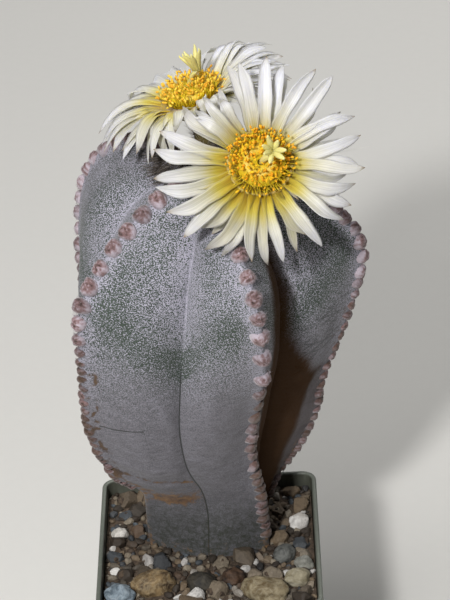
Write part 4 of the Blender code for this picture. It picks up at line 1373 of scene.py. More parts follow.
    def slant(self) -> np.ndarray:
        """Find the fold that runs down into the front groove.

        Returns:
            How near each point is to it.
        """
        foot, slope = self.slant_fold
        fold = self.grid[..., 2] - foot - slope * self.to_groove
        face = self.face(0, 1)
        return bell(fold, 0.0, 2.4) * bell(self.to_groove, 4.5, 4.5) * face

    def folds(self) -> tuple[np.ndarray, np.ndarray]:
        """Find the waist fold and the ledge of the front left face.

        Returns:
            Millimetres above each, and for points of other faces a distance that keeps the
            fold away from them.
        """
        place_x, _, height = np.moveaxis(self.grid, 2, 0)
        face = self.face(0, 1)
        waver = 0.8 * noise_field(self.grid * np.array([1.0, 1.0, 0.0]), 6.0, 5.0)
        waist, ledge = (np.where(face, height - (middle - slope * place_x) + waver, FAR_OFF)
                        for middle, slope in (self.waist_fold, self.waist_ledge))
        return waist, ledge

    def skin_values(self) -> np.ndarray:
        """Work out how the skin has aged.

        Returns:
            Felt density, cork and wear at each point. The felt and the wear also hold painted shade
            on the far-left rib, and the felt a painted highlight along the slant fold.
        """
        height = self.grid[..., 2]
        lump = noise_field(self.grid, 16.0, 21.0)
        fine = noise_field(self.grid, 4.0, 33.0)
        young = fade(height, 118.0, 158.0)
        far_left = self.rib == 4
        sparse = bell(height - 178.0 + 0.9 * self.to_crest + 4.0 * lump, 0.0, 9.5)
        sparse = sparse * fade(self.to_crest, 2.5, 7.0)
        wedge = np.interp(height, (145.0, 157.0), (0.2, 4.6))
        bare = 0.8 * bell(height, 151.5, 5.0) * fade(self.to_groove, wedge + 1.5, wedge)
        felt = 0.5 + 0.4 * np.exp(-(self.to_crest / 3.4) ** 2)
        felt += 0.24 * np.exp(-(self.to_groove / 6.0) ** 2) * fade(height, 154.0, 164.0)
        for middle, half in ((7.5, 1.4), (2.5, 1.6)):
            felt += 0.25 * young * bell(self.to_crest, middle, half) * far_left
        felt -= 0.36 * sparse + bare
        felt -= 0.12 * bell(self.to_crest, 12.0, 6.0) * bell(height, 182.0, 12.0)
        # Painted highlight: pale felt along the slant fold stands in for its lit ridge. Painted
        # shade: a little less felt on the far-left rib.
        felt += 0.16 * lump + 0.1 * fine + 0.45 * self.slant() - 0.1 * far_left
        wear_and_shade = 1.0 - fade(height, 126.0, 176.0) - bare - 0.35 * sparse
        # Painted shade: the far-left rib takes the darker, duller look of old skin near its crest.
        wear_and_shade += 0.5 * far_left * fade(self.to_crest + 2.0 * lump, 17.0, 8.0)
        return np.stack([np.clip(felt, 0, 1), self.cork_values(fine, young),
                         np.clip(wear_and_shade, 0, 1)], axis=2)

    def cork_values(self, fine: np.ndarray, young: np.ndarray) -> np.ndarray:
        """Return how corky each point of the skin is.

        Args:
            fine: Smooth noise at each point.
            young: 1 where the skin is young.

        Returns:
            One value for each point.
        """
        place_x, _, height = np.moveaxis(self.grid, 2, 0)
        cork = 0.3 * np.exp(-(self.to_crest / 1.7) ** 2) * (1.0 - young)
        cork += 0.3 * (1.0 - fade(height, 64.0, 74.0))
        left_face = self.face(0, 1)
        scar_x, scar_z = self.scar_place
        centre = bell(place_x, scar_x, 6.0) * bell(height, scar_z, 2.6)
        spread = bell(place_x, scar_x + 1.5, 11.0) * bell(height, scar_z + 3.5, 5.5)
        cork += (0.85 * centre + 0.38 * spread) * left_face
        specks = bell(self.to_crest, 3.4, 2.6) * fade(height, 160.0, 148.0)
        specks *= fade(height, 84.0, 96.0) * left_face
        dots = noise_field(self.grid, 1.7, 61.0)
        cork += 0.7 * specks * fade(dots, -0.12, 0.2)
        facing = self.face(2, -1)
        cork += 0.25 * facing * bell(self.to_crest, 3.0, 2.5) * fade(height, 172.0, 150.0)
        return np.clip(cork, 0.0, 1.0)

    def tan_and_shade_values(self) -> np.ndarray:
        """Work out the painted shade with brown staining on the faces beside the right groove.

        Returns:
            One value for each point.
        """
        height = self.grid[..., 2]
        waver = 3.0 * noise_field(self.grid, 9.0, 44.0)
        inner = self.face(1, 1)
        facing = self.face(2, -1)
        start = np.interp(height, (125.0, 140.0, 155.0, 170.0, 190.0),
                          (0.7, 2.0, 5.0, 9.5, 13.0))
        # Painted shade with brown staining on the front rib's right face and on the right rib's face
        # beside the groove.
        tan_and_shade = inner * fade(self.to_crest, start, start + 3.5) * fade(height, 212.0, 178.0)
        reach = np.interp(height, (100.0, 115.0, 122.0, 128.0, 133.0, 140.0, 150.0, 165.0),
                          (12.5, 14.5, 17.0, 20.0, 15.5, 10.5, 8.0, 4.5))
        tan_and_shade = tan_and_shade + facing * fade(self.to_groove + waver, reach + 2.2, reach - 2.2)
        tan_and_shade = np.maximum(tan_and_shade, 0.4 * facing * fade(height, 130.0, 120.0))
        return np.clip(tan_and_shade, 0.0, 1.0)

    def mark_values(self) -> np.ndarray:
        """Measure the way to the marks on the skin.

        Returns:
            Millimetres from the crack, the waist fold and the scratches at each point.
        """
        place_x, _, height = np.moveaxis(self.grid, 2, 0)
        left_face = self.face(0, 1)
        waver = 0.7 * noise_field(self.grid * np.array([1.0, 1.0, 0.0]), 3.0, 8.0)
        crack_x, crack_z = self.left_crack
        crack = np.where(np.abs(place_x - crack_x) < 7.5, height - crack_z + 0.5 * waver, FAR_OFF)
        right_face = self.face(2, -1)
        other = height - self.right_crack_z + 0.75 * self.to_crest + waver
        other = np.where(np.abs(self.to_crest - 7.0) < 5.0, other, FAR_OFF)
        crack = np.where(left_face, crack, np.where(right_face, other, FAR_OFF))
        wander = height + 0.33 * self.to_crest + 0.6 * noise_field(self.grid, 9.0, 71.0)
        near = right_face & (np.abs(wander - self.scratch_z) < 11.0) & (self.to_crest > 3.0)
        near &= (self.to_crest < 19.0) & (noise_field(self.grid, 6.0, 77.0) > -0.12)
        pitch = self.scratch_pitch
        scratch = np.where(near, np.mod(wander, pitch) - pitch / 2, FAR_OFF)
        waist, _ = self.folds()
        return np.clip(np.stack([crack, waist, scratch], axis=2), -FAR_OFF, FAR_OFF)

    def build_skin(self) -> None:
        """Build the skin as one closed mesh that stands for the stem."""
        rows, columns, _ = self.grid.shape
        points = [tuple(point) for point in self.grid[:-1].reshape(-1, 3)] + [tuple(CROWN)]
        faces = tube_faces(rows - 1, columns, tip=True)
        sheaf = Sheaf()
        sheaf.add(points, faces, (0.0, 0.0, 0.0))
        item = sheaf.shape("stem_skin")
        rib = np.stack([self.to_crest, self.to_groove, self.grid[..., 2]], axis=2)
        for name, values in (("skin", self.skin_values()), ("rib", rib),
                             ("marks", self.mark_values())):
            flat = values[:-1].reshape(-1, 3)
            layer = item.data.attributes.new(name, "FLOAT_VECTOR", "POINT")
            layer.data.foreach_set("vector", np.vstack([flat, flat[-1]]).ravel())
        layer = item.data.attributes.new("tan_and_shade", "FLOAT", "POINT")
        layer.data.foreach_set("value", np.append(self.tan_and_shade_values()[:-1].ravel(), 0.0))
        self.tree = BVHTree.FromPolygons([Vector(point) for point in points], faces)
        settle(item, [FeltedSkin("cactus_skin_felted")], Slot.SKIN, "stem")

    def crest_place(self, number: int, stop: float) -> tuple[Vector, Vector, Vector]:
        """Find a point on a crest.

        Args:
            number: Which rib.
            stop: Distance from the crown along the crest.

        Returns:
            The point, the way out of the skin and the way down the crest.
        """
        lengths = self.lengths[number][::-1]
        lines = [self.grid[::-1, (self.crest_columns[number] + offset) % self.grid.shape[1]]
                 for offset in (0, -self.flank_steps, self.flank_steps)]
        here, ahead, *sides = (
            Vector([np.interp(place, lengths, line[:, axis]) for axis in range(3)])
            for place, line in zip((stop - 1.0, stop + 1.0, stop, stop),
                                   (lines[0], *lines)))
        along = (ahead - here).normalized()
        out = (here + ahead) / 2 - (sides[0] + sides[1]) / 2
        return (here + ahead) / 2, (out - along * out.dot(along)).normalized(), along

    def build_areoles(self) -> None:
        """Build the woolly areoles of every crest, with their short hairs."""
        sheaf = Sheaf(random.Random(self.areole_seed))
        for number, stops in enumerate(self.stops):
            for stop in stops:
                place, out, along = self.crest_place(number, stop)
                crowd = self.crowd_z[number]
                old = 0.0 if stop < 45.0 else 1.0 - float(fade(place.z, crowd - 10.0, crowd + 4.0))
                size = float(np.interp(place.z, (158.0, 176.0), self.areole_size[number]))
                pitch = float(np.interp(place.z, *self.areole_pitch[number]))
                self.add_areole(sheaf, (along.cross(out).normalized(), along, out), place, old,
                                (size, pitch))
        finish = Wool("areole_felt", "#35241e", "#7b6060", "#b0a5ae", "#4a3826", 0.75, 1.0)
        sheaf.build("areole_wool", [finish], Slot.SKIN)

    def add_areole(self, sheaf: Sheaf, ways: tuple, place: Vector, old: float, measure: tuple
                   ) -> None:
        """Add one areole: a domed felt pad with short hairs.

        Args:
            sheaf: Mesh that takes it.
            ways: Directions across the crest, down it and out of the skin.
            place: Point on the crest.
            old: 0 for a young round pad and 1 for an old flattened one.
            measure: Its share of a full pad's size, and the pads' pitch there.
        """
        chance = sheaf.chance
        tilt = Matrix.Rotation(chance.gauss(0, 0.06), 3, ways[0])
        turn = Matrix.Rotation(chance.gauss(0, 0.05 + 0.14 * old), 3, ways[2])
        side, along, out = (turn @ (tilt @ way) for way in ways)
        place = place + side * chance.gauss(0, 0.25 * old) + along * chance.gauss(0, 0.15)
        size, pitch = measure
        half_side = size * (2.8 - 0.5 * old) * chance.uniform(0.86, 1.1)
        longest = max(2.7 - 1.35 * old, min(2.6, 0.46 * pitch))
        half_along = size * longest * chance.uniform(0.84, 1.12)
        proud = size * (1.75 - 0.8 * old) * chance.uniform(0.75, 1.15)
        tone = chance.random()
        stain = old * chance.uniform(0.2, 0.8)
        burnt = chance.uniform(0, 2 * math.pi)
        shift = Vector((chance.uniform(0, 90), 0.0, 0.0))
        points = []
        grow = []
        for scale, rise, pale in self.pad_profile:
            for corner in range(self.pad_sides):
                angle = 2 * math.pi * corner / self.pad_sides
                across = half_side * scale * math.cos(angle)
                down = half_along * scale * math.sin(angle)
                lump = noise.noise(Vector((across, down, 0.0)) * 0.9 + shift)
                fine = noise.noise(Vector((across, down, 5.0)) * 2.9 + shift)
                level = proud * rise if rise > 0 else rise
                level += (0.34 * lump + 0.16 * fine) * (1.0 - 0.4 * old) * (rise > 0.3)
                spread = 1.0 + 0.12 * lump
                points.append(tuple(place + side * (across * spread) + along * (down * spread)
                                    + out * (level - 0.16 * across * across)))
                char = 0.3 * bell(scale, 0.82, 0.16) * max(0.0, math.cos(angle - burnt))
                value = pale * (1.0 - 0.35 * old) + 0.6 * fine + 0.3 * lump - char
                grow.append((min(max(value, 0.0), 1.0), stain, tone))
        points.append(tuple(place + out * proud * 1.06))
        grow.append((0.4, stain, tone))
        sheaf.add(points, tube_faces(len(self.pad_profile), self.pad_sides, tip=True), grow)
        for _ in range(int(self.areole_hairs * (1.0 - 0.45 * old))):
            angle = chance.uniform(0, 2 * math.pi)
            spread = 1.0 if chance.random() < 0.6 else math.sqrt(chance.random())
            lean = side * math.cos(angle) * spread + along * math.sin(angle) * spread
            across = half_side * spread * math.cos(angle)
            root = (place + side * (0.95 * across)
                    + along * (half_along * 0.95 * spread * math.sin(angle))
                    + out * (proud * (0.9 - 0.75 * spread ** 3) - 0.16 * across ** 2 - 0.1))
            way = (out * 0.8 + lean * 1.3
                   + Vector([chance.gauss(0, 0.3) for _ in range(3)])).normalized()
            length = chance.uniform(0.5, 1.15) * (1.0 - 0.4 * old)
            line = bent_line(root, way, length, lean * 0.35 - out * 0.2, 2)
            sheaf.add_hair(line, 0.06, (0.7 - 0.25 * old, 1.0 - 0.25 * old), (0.6 * stain, tone))

    def surface_below(self, x: float, y: float) -> tuple[Vector, Vector] | None:
        """Find the skin straight below a plan point.

        Args:
            x: The plan point's x.
            y: The plan point's y.

        Returns:
            The skin's point and normal, if there is any.
        """
        place, normal, _, _ = self.tree.ray_cast(Vector((x, y, 260.0)), Vector((0, 0, -1.0)))
        return place and (place, normal if normal.z > 0 else -normal)


@dataclass
class CrownWool:
    """Dark wool in the dip of the crown and round the roots of the flowers."""

    radius: float = 9.0
    centre: tuple = (1.0, 10.5)
    strands: int = 2300
    seat_strands: int = 260
    lowest_root: float = 188.0
    mat_rings: tuple = (0.9, 2.2, 3.6, 5.0, 6.2)
    mat_sides: int = 28
    mat_thick: float = 2.0
    seat_ring: tuple = (2.4, 5.4)
    strand_length: tuple = (3.2, 7.5)
    strand_radius: tuple = (0.07, 0.12)
    tip_tones: tuple = (0.35, 0.5, 0.7, 1.0)
    seed: int = 5

    def build(self, stem: RibbedStem, seats: list[Vector]) -> None:
        """Build the wool, rooted on the stem's skin.

        Args:
            stem: The stem that it grows on.
            seats: Where the flowers' tubes leave the skin.
        """
        sheaf = Sheaf(random.Random(self.seed))
        self.add_mat(sheaf, stem)
        roots = [(*self.centre, 0.0, self.radius, self.strands)]
        roots += [(seat.x, seat.y, *self.seat_ring, self.seat_strands) for seat in seats]
        for centre_x, centre_y, least, most, count in roots:
            for _ in range(count):
                angle = sheaf.chance.uniform(0, 2 * math.pi)
                reach = least + (most - least) * math.sqrt(sheaf.chance.random())
                away = Vector((math.cos(angle), math.sin(angle), 0.0))
                place = Vector((centre_x, centre_y, 0.0)) + away * reach
                self.add_strand(sheaf, stem.surface_below(place.x, place.y), away)
        finish = Wool("crown_wool_matted", "#241c17", "#574c44", "#a1968a", "#3c2b1f")
        sheaf.build("crown_hair", [finish], Slot.WOOL, "crown_wool")

    def add_strand(self, sheaf: Sheaf, found: tuple[Vector, Vector] | None, away: Vector
                   ) -> None:
        """Add one strand, unless its root would miss the skin or lie too low.

        Args:
            sheaf: Mesh that takes it.
            found: The skin's point and normal at its root, if there is any.
            away: Level direction that it leans in.
        """
        if found is None or found[0].z < self.lowest_root:
            return
        root, normal = found
        chance = sheaf.chance
        scatter = Vector((chance.gauss(0, 0.35), chance.gauss(0, 0.35),
                          chance.uniform(-0.1, 0.3)))
        flat = (away - normal * away.dot(normal)).normalized()
        way = (normal * 0.35 + flat + scatter).normalized()
        length = chance.uniform(*self.strand_length)
        sag = (flat * 1.2 - normal * (way.dot(normal) * length * 0.7)
               + Vector((chance.gauss(0, 0.8), chance.gauss(0, 0.8), 0.0)))
        line = bent_line(root - normal * 0.3, way, length, sag, 5)
        radius = chance.uniform(*self.strand_radius)
        tone = chance.random()
        sheaf.add_hair(line, radius, (0.0, chance.choice(self.tip_tones)), (0.15, tone))

    def add_mat(self, sheaf: Sheaf, stem: RibbedStem) -> None:
        """Add the low felted mat that lies under the strands.

        Args:
            sheaf: Mesh that takes it.
            stem: The stem that it grows on.
        """
        layers = []
        for upper in (False, True):
            rings = []
            for radius in self.mat_rings:
                points = []
                dome = self.mat_thick * (1 - (radius / 6.4) ** 2)
                for x, y, _ in ring(CROWN, Vector((1, 0, 0)), Vector((0, 1, 0)),
                                    (radius, radius), self.mat_sides):
                    thick = dome * sheaf.chance.uniform(0.6, 1.3)
                    below = stem.surface_below(x, y)[0]
                    points.append((x, y, below.z + (0.1 + thick if upper else -0.2)))
                rings.append(points)
            layers.append(rings)
        middle = stem.surface_below(CROWN.x, CROWN.y)[0] + Vector((0.0, 0.0, 0.3))
        rings = layers[1] + layers[0][::-1]
        points = [tuple(middle + Vector((0.0, 0.0, self.mat_thick))),
                  *(point for points in rings for point in points), tuple(middle)]
        sheaf.add(points, tube_faces(len(rings), self.mat_sides, foot=True, tip=True),
                  (0.05, 0.2, 0.2))


def sweep_blade(stations: list[tuple], lanes: int) -> tuple[list, list, list]:
    """Sweep a thin closed blade through stations from root to tip.

    Args:
        stations: Centre, side direction, upper direction, half width, thickness, cup height,
            length value and point value of each station.
        lanes: Points across the upper face.

    Returns:
        Points, faces, and for each point its length value, its place across, 1 if it is on
        the lower face, and its point value.
    """
    upper = [(across, 0.0) for across in np.linspace(-1.0, 1.0, lanes)]
    lower = [(across, 1.0) for across, _ in upper[-2:0:-1]]
    points = []
    marks = []
    for centre, side, over, half, thick, cup, value, point in stations:
        for across, under in upper + lower:
            bulge = (0.5 - under) * thick * (1 - across ** 4)
            rise = cup * (across * across - 0.35) + bulge
            points.append(tuple(centre + side * (half * across) + over * rise))
            marks.append((value, across, under, point))
    return points, tube_faces(len(stations), 2 * lanes - 2), marks


@dataclass
class Bloom:
    """One flower: its tepals, funnel, stamens, style and scaly tube.

    A pair of lengths, reaches or lifts holds the least and the most of a random one, and bend
    is a share of a tepal's reach.
    """

    word: str
    centre: Vector
    axis: Vector
    seat: Vector
    seat_axis: Vector
    rows: list
    style_top: float
    seed: int
    style_lean: tuple
    lobe_reach: float
    lobe_rise: float
    stamen_reach: float
    tepal_width: float = 4.0
    tepal_thick: float = 0.34
    root_share: float = 0.86
    stations: int = 22
    lanes: int = 7
    twist: float = 42.0
    bend: float = 0.07
    hook: float = 3.2
    curls: tuple = (0.4, 1.0, 1.6, 2.6, 3.4)
    outer_layer: float = 3.6
    outer_reach: tuple = (23.0, 27.5)
    outer_lift: tuple = (-6.5, -3.5)
    filament_radius: float = 0.24
    anther_half: tuple = (0.37, 0.3)
    anther_length: tuple = (0.55, 0.85)
    tube_radius: float = 2.5
    tube_swell: float = 0.7
    tube_sides: int = 18
    tube_sections: int = 12
    scale_length: tuple = (1.9, 2.8)
    hair_radius: float = 0.05
    hair_length: tuple = (1.4, 3.4)
    silk_length: tuple = (12.0, 24.0)
    funnel_sides: int = 36
    disc_radius: float = 6.9
    disc_sides: int = 24
    stamen_count: int = 330
    lobe_count: int = 7
    lobe_profile: tuple = (0.7, 0.88, 0.95, 0.93, 0.84, 0.68, 0.36)
    outer_count: int = 17
    sepal_rings: tuple = ((9, -11.6, 4.2), (12, -9.8, 5.6), (15, -8.0, 7.6))
    scale_count: int = 44
    tube_hairs: int = 260
    silk_count: int = 0
    lobe_size: float = 0.85
    pollen: tuple = ("#f0a008", "#fac014")
    matrix: Matrix = field(init=False)

    def __post_init__(self) -> None:
        """Work out the matrix from the flower's own millimetres to the part's."""
        out = self.axis.normalized()
        right = FRAME_UP.cross(out).normalized()
        self.matrix = frame_of(right, out.cross(right), out, self.centre)

    def source(self, number: int) -> random.Random:
        """Return the source of irregularity of one of the flower's pieces."""
        return random.Random(self.seed + number)

    def name(self, form: str) -> str:
        """Return the flower's own name of a piece or node."""
        return "flower_{}_{}".format(self.word, form)

    def midline(self, reach: float, layer: int, lift: float, share: float) -> np.ndarray:
        """Find a place on a tepal's middle.

        Args:
            reach: The tip's distance from the axis.
            layer: Layer counted from the inside.
            lift: Height of the tip.
            share: Place from root to tip.

        Returns:
            Distance from the flower's axis and height along it.
        """
        drop = LAYER_DROP * layer
        least, arch_share, arch_height = TEPAL_ARCH
        return bezier((TEPAL_ROOT, (TEPAL_RISE[0], TEPAL_RISE[1] - drop),
                       (max(least, arch_share * reach), arch_height - drop + 0.3 * lift),
                       (reach, lift - drop)), share)

    def width_share(self, share: float) -> float:
        """Work out a tepal's width: narrow root, broad shoulder, small drawn-out point.

        Args:
            share: Place from root to tip.

        Returns:
            The width as a share of the full one.
        """
        if share < TEPAL_WIDEST:
            swell = math.sin(0.5 * math.pi * share / TEPAL_WIDEST)
            return self.root_share + (1.0 - self.root_share) * swell
        fall = (share - TEPAL_WIDEST) / (1.0 - TEPAL_WIDEST)
        return max(1.0 - fall ** 3.8, 0.24 * (1.0 - fall) ** 0.5) + 0.015

    def add_tepal(self, sheaf: Sheaf, row: tuple) -> None:
        """Add one tepal with its channel, twist and bent tip.

        Args:
            sheaf: Mesh that takes it.
            row: Bearing, reach, layer and lift.
        """
        chance = sheaf.chance
        bearing, reach, layer, lift = row
        turn = self.matrix @ Matrix.Rotation(math.radians(bearing), 4, "Z")
        rotate = turn.to_3x3()
        reach *= chance.uniform(0.96, 1.03)
        twist = math.radians(chance.uniform(-self.twist, self.twist))
        bend = chance.uniform(-self.bend, self.bend) * reach
        hook = chance.uniform(-self.hook, self.hook) + 2.2 * math.cos(math.radians(bearing))
        cup = chance.uniform(0.1, 1.3)
        curl = chance.choice(self.curls) + (2.2 if lift > 1.0 else 0.0)
        full = self.tepal_width * chance.uniform(0.78, 1.08) * (0.72 if layer > 2 else 1.0)
        wave = chance.uniform(0, 6.28)
        # Painted shade and light: lower tepals get a darker tone and upper ones a lighter one, on
        # top of a random part, and the rear flower's tepals are painted lighter.
        tone = 0.5 * chance.random() + 0.25 + 0.25 * math.sin(math.radians(bearing + 25.0))
        tone = tone if self.word == "front" else 0.4 + 0.6 * tone
        pale = 0.035 + 0.105 * math.sin(math.radians(bearing + 20.0))
        brown = chance.random() < 0.6
        stations = []
        for number in range(self.stations):
            share = 0.1 + 0.9 * (number / (self.stations - 1)) ** 0.92
            distance, height = self.midline(reach, layer, lift, share)
            tip = max(0.0, (share - 0.74) / 0.26)
            height -= curl * tip * tip
            distance -= 0.3 * curl * tip * tip
            ahead = self.midline(reach, layer, lift, share + 0.02)
            slope = Vector((ahead[0] - distance, 0.0,
                            ahead[1] - height - curl * tip * 0.2)).normalized()
            side = Vector((0.0, 1.0, 0.0))
            over = slope.cross(side)
            over = over if over.z > 0 or abs(slope.z) > 0.98 else -over
            roll = Matrix.Rotation(twist * share * share, 3, slope)
            half = 0.5 * full * self.width_share(share) * (1.0 + 0.07 * math.sin(wave + 19 * share))
            sway = bend * 4 * share * (1 - share) + hook * tip * tip
            ripple = 0.3 * math.sin(wave + 11 * share) * share
            centre = Vector((distance, sway, height + ripple))
            stations.append((turn @ centre, rotate @ (roll @ side), rotate @ (roll @ over), half,
                             self.tepal_thick * (1.35 - 0.9 * share),
                             cup * min(1.0, half / 1.2) * (1 - 0.5 * tip),
                             distance / min(30.0, reach + 6.0) + pale,
                             max(0.0, (share - 0.95) / 0.05) if brown else 0.0))
        self.add_blade(sheaf, stations, self.lanes, tone, 0.6 if layer > 2 else 0.0)

    def add_blade(self, sheaf: Sheaf, stations: list[tuple], lanes: int, tone: float,
                  least: float) -> None:
        """Add a blade of petal tissue.

        Args:
            sheaf: Mesh that takes it.
            stations: Its stations from root to tip.
            lanes: Points across its upper face.
            tone: Its tone: random, and on the tepals also painted shade and light by bearing.
            least: How far its upper face has the lower face's colour.
        """
        points, faces, marks = sweep_blade(stations, lanes)
        sheaf.add(points, faces, [(mark[0], mark[1], tone) for mark in marks],
                  under=[max(mark[2], least) for mark in marks],
                  point=[mark[3] for mark in marks])

    def build_tepals(self) -> None:
        """Build the tepals with the funnel that they grow from."""
        sheaf = Sheaf(self.source(0))
        chance = sheaf.chance
        for row in self.rows:
            self.add_tepal(sheaf, row)
        for number in range(self.outer_count):
            bearing = 360.0 * (number + 0.5) / self.outer_count + chance.uniform(-6, 6)
            if 270.0 < bearing % 360.0 < 350.0 and self.word == "rear":
                continue
            self.add_tepal(sheaf, (bearing, chance.uniform(*self.outer_reach), self.outer_layer,
                                   chance.uniform(*self.outer_lift)))
        sides = self.funnel_sides
        points = lathe(self.matrix, CORE_PROFILE, sides)
        lanes = [0.5 * math.sin(12 * math.pi * (number % sides) / sides)
                 for number in range(len(points))]
        sheaf.add(points, tube_faces(len(CORE_PROFILE), sides),
                  [(0.26, lane, 0.5) for lane in lanes], under=0.5, point=0.0)
        for ring_number, (count, start, length) in enumerate(self.sepal_rings):
            for number in range(count):
                bearing = 360.0 * (number + 0.5 * ring_number) / count + chance.uniform(-6, 6)
                self.add_sepal(sheaf, bearing, start, length)
        sheaf.build(self.name("petals"), [SilkyTepal("petal_satin_cream")], Slot.TEPAL,
                    self.name("tepals"))

    def add_sepal(self, sheaf: Sheaf, bearing: float, start: float, length: float) -> None:
        """Add one short outer scale that lies on the funnel.

        Args:
            sheaf: Mesh that takes it.
            bearing: Direction in the flower's plane.
            start: Height of its root.
            length: Its length.
        """
        turn = self.matrix @ Matrix.Rotation(math.radians(bearing), 4, "Z")
        rotate = turn.to_3x3()
        radii, heights = zip(*CORE_PROFILE[:5])
        tone = sheaf.chance.random()
        length *= sheaf.chance.uniform(0.85, 1.15)
        root, ahead = (Vector((float(np.interp(height, heights, radii)) + off, 0.0, height))
                       for height, off in ((start, 0.1), (start + 2.0, 0.4)))
        slope = (ahead - root).normalized()
        over = rotate @ Vector((-slope.z, 0.0, slope.x))
        stations = []
        for share in np.linspace(0.0, 1.0, 8):
            flare = 0.35 * length * share * share
            centre = root + slope * (length * share) + Vector((flare, 0.0, -0.3 * flare))
            half = 1.05 * (0.7 + 0.3 * math.sin(math.pi * share)) * (1 - share ** 2.6) + 0.03
            stations.append((turn @ centre, rotate @ Vector((0, 1, 0)), over, half, 0.28, 0.15,
                             0.45 + 0.2 * share, 0.9 * max(0.0, (share - 0.6) / 0.4)))
        self.add_blade(sheaf, stations, 5, tone, 1.0)

    def build_stamens(self) -> None:
        """Build the stamens: bent filaments with plump anthers, spread by the golden angle."""
        sheaf = Sheaf(self.source(1))
        chance = sheaf.chance
        floor = DISH_FLOOR + GAP
        profile = ((1.15, floor), (self.disc_radius, floor), (self.disc_radius, -2.4),
                   (0.95, -1.2))
        disc = lathe(self.matrix, profile, self.disc_sides)
        faces = tube_faces(len(profile) + 1, self.disc_sides)[:-2]
        sheaf.add(disc, [tuple(number % len(disc) for number in face) for face in faces],
                  (0.4, 0.0, 0.6))
        front = self.word == "front"
        for number in range(self.stamen_count):
            spread = math.sqrt((number + 0.5) / self.stamen_count)
            angle = GOLDEN_ANGLE * number
            turn = self.matrix @ Matrix.Rotation(angle, 4, "Z")
            tip = 1.5 + (self.stamen_reach - 1.5) * spread + chance.uniform(-1.4, 0.7)
            rise = chance.uniform(-1.2, 2.6) - (1.2 if front else 2.6) * spread
            foot = Vector((1.5 + 6.4 * spread, 0.0, -4.5))
            head = Vector((tip, chance.uniform(-0.9, 0.9), rise))
            middle = foot.lerp(head, 0.5) + Vector((-0.5, 0.0, 0.6))
            line = [turn @ (foot * (1 - t) ** 2 + middle * (2 * t * (1 - t)) + head * t * t)
                    for t in (0.0, 0.3, 0.6, 1.0)]
            tone = chance.random()
            sheaf.add_hair(line, self.filament_radius, (0.0, 1.0), (0.0, tone))
            bare = math.sin(angle) < -0.15 and spread > 0.58 and front
            if not bare or chance.random() < 0.14:
                self.add_anther(sheaf, line, tone)
        finishes = [PlantTissue("filament_yellow", "#cdb01a", "#f2d22c", 0.25, 0.5, 0.5),
                    PlantTissue("pollen_orange", *self.pollen, 0.3, 0.75, 0.35)]
        sheaf.build(self.name("filaments"), finishes, Slot.ANTHER, self.name("stamens"))

    def add_anther(self, sheaf: Sheaf, line: list[Vector], tone: float) -> None:
        """Add one anther at a filament's end.

        Args:
            sheaf: Mesh that takes it.
            line: The filament's line.
            tone: Its random tone.
        """
        chance = sheaf.chance
        tilt = Vector([chance.gauss(0, 0.5) for _ in range(3)])
        long_way = ((line[-1] - line[-2]).normalized() + tilt).normalized()
        side = long_way.orthogonal().normalized()
        half = chance.uniform(*self.anther_length)
        points = [tuple(line[-1] - long_way * half)]
        for place, scale in ((-0.6, 0.8), (0.0, 1.0), (0.6, 0.8)):
            points += ring(line[-1] + long_way * (half * place), side, long_way.cross(side),
                           tuple(size * scale for size in self.anther_half), 6)
        points.append(tuple(line[-1] + long_way * half))
        sheaf.add(points, tube_faces(3, 6, foot=True, tip=True), (tone, 0.0, chance.random()),
                  slot=1)

    def build_style(self) -> None:
        """Build the style with its spread of soft lobes."""
        sheaf = Sheaf(self.source(2))
        chance = sheaf.chance
        lean_x, lean_y = self.style_lean
        floor = DISH_FLOOR + GAP
        rows = 9
        sides = 14
        shares = [row / (rows - 1) for row in range(rows)]
        profile = [(0.75 + 0.55 * share ** 3, floor + (self.style_top + 0.6 - floor) * share,
                    lean_x * share ** 3, lean_y * share ** 3) for share in shares]
        sheaf.add(lathe(self.matrix, profile, sides), tube_faces(rows, sides),
                  [(0.3 + 0.07 * row, 0.0, 0.5) for row in range(rows) for _ in range(sides)])
        shift = self.matrix @ Matrix.Translation(Vector((lean_x, lean_y, 0.0)))
        for number in range(self.lobe_count):
            angle = 2 * math.pi * number / self.lobe_count + chance.uniform(-0.2, 0.2)
            self.add_lobe(sheaf, shift @ Matrix.Rotation(angle, 4, "Z"))
        finish = PlantTissue("stigma_velvet", "#b3a548", "#e6dd92", 0.22, 0.55, 0.3)
        sheaf.build(self.name("stigma"), [finish], Slot.STIGMA, self.name("style"))

    def add_lobe(self, sheaf: Sheaf, turn: Matrix) -> None:
        """Add one lobe of the stigma: a soft finger that bends outward.

        Args:
            sheaf: Mesh that takes it.
            turn: Frame whose first axis the lobe leans along.
        """
        chance = sheaf.chance
        reach = self.lobe_reach * chance.uniform(0.75, 1.2)
        rise = self.lobe_rise * chance.uniform(0.85, 1.15)
        lean = chance.uniform(-0.5, 0.5)
        foot = self.style_top + 0.1
        sides = 8
        points = []
        grow = []
        for row, share in enumerate(self.lobe_profile):
            t = row / (len(self.lobe_profile) - 1)
            centre = Vector((0.5 + (reach - 0.5) * t ** 1.3, lean * t * t,
                             foot + rise * (t - 0.12 * t ** 3)))
            for corner in range(sides):
                angle = 2 * math.pi * corner / sides
                size = self.lobe_size * share * (1.0 + chance.uniform(-0.06, 0.06))
                offset = Vector((size * math.cos(angle), size * math.sin(angle), 0.0))
                points.append(tuple(turn @ (centre + offset)))
                grow.append((0.4 + 0.6 * t, 0.0, chance.random()))
        points.append(tuple(turn @ Vector((reach, lean, foot + rise))))
        grow.append((1.0, 0.0, 0.5))
        sheaf.add(points, tube_faces(len(self.lobe_profile), sides, tip=True), grow)

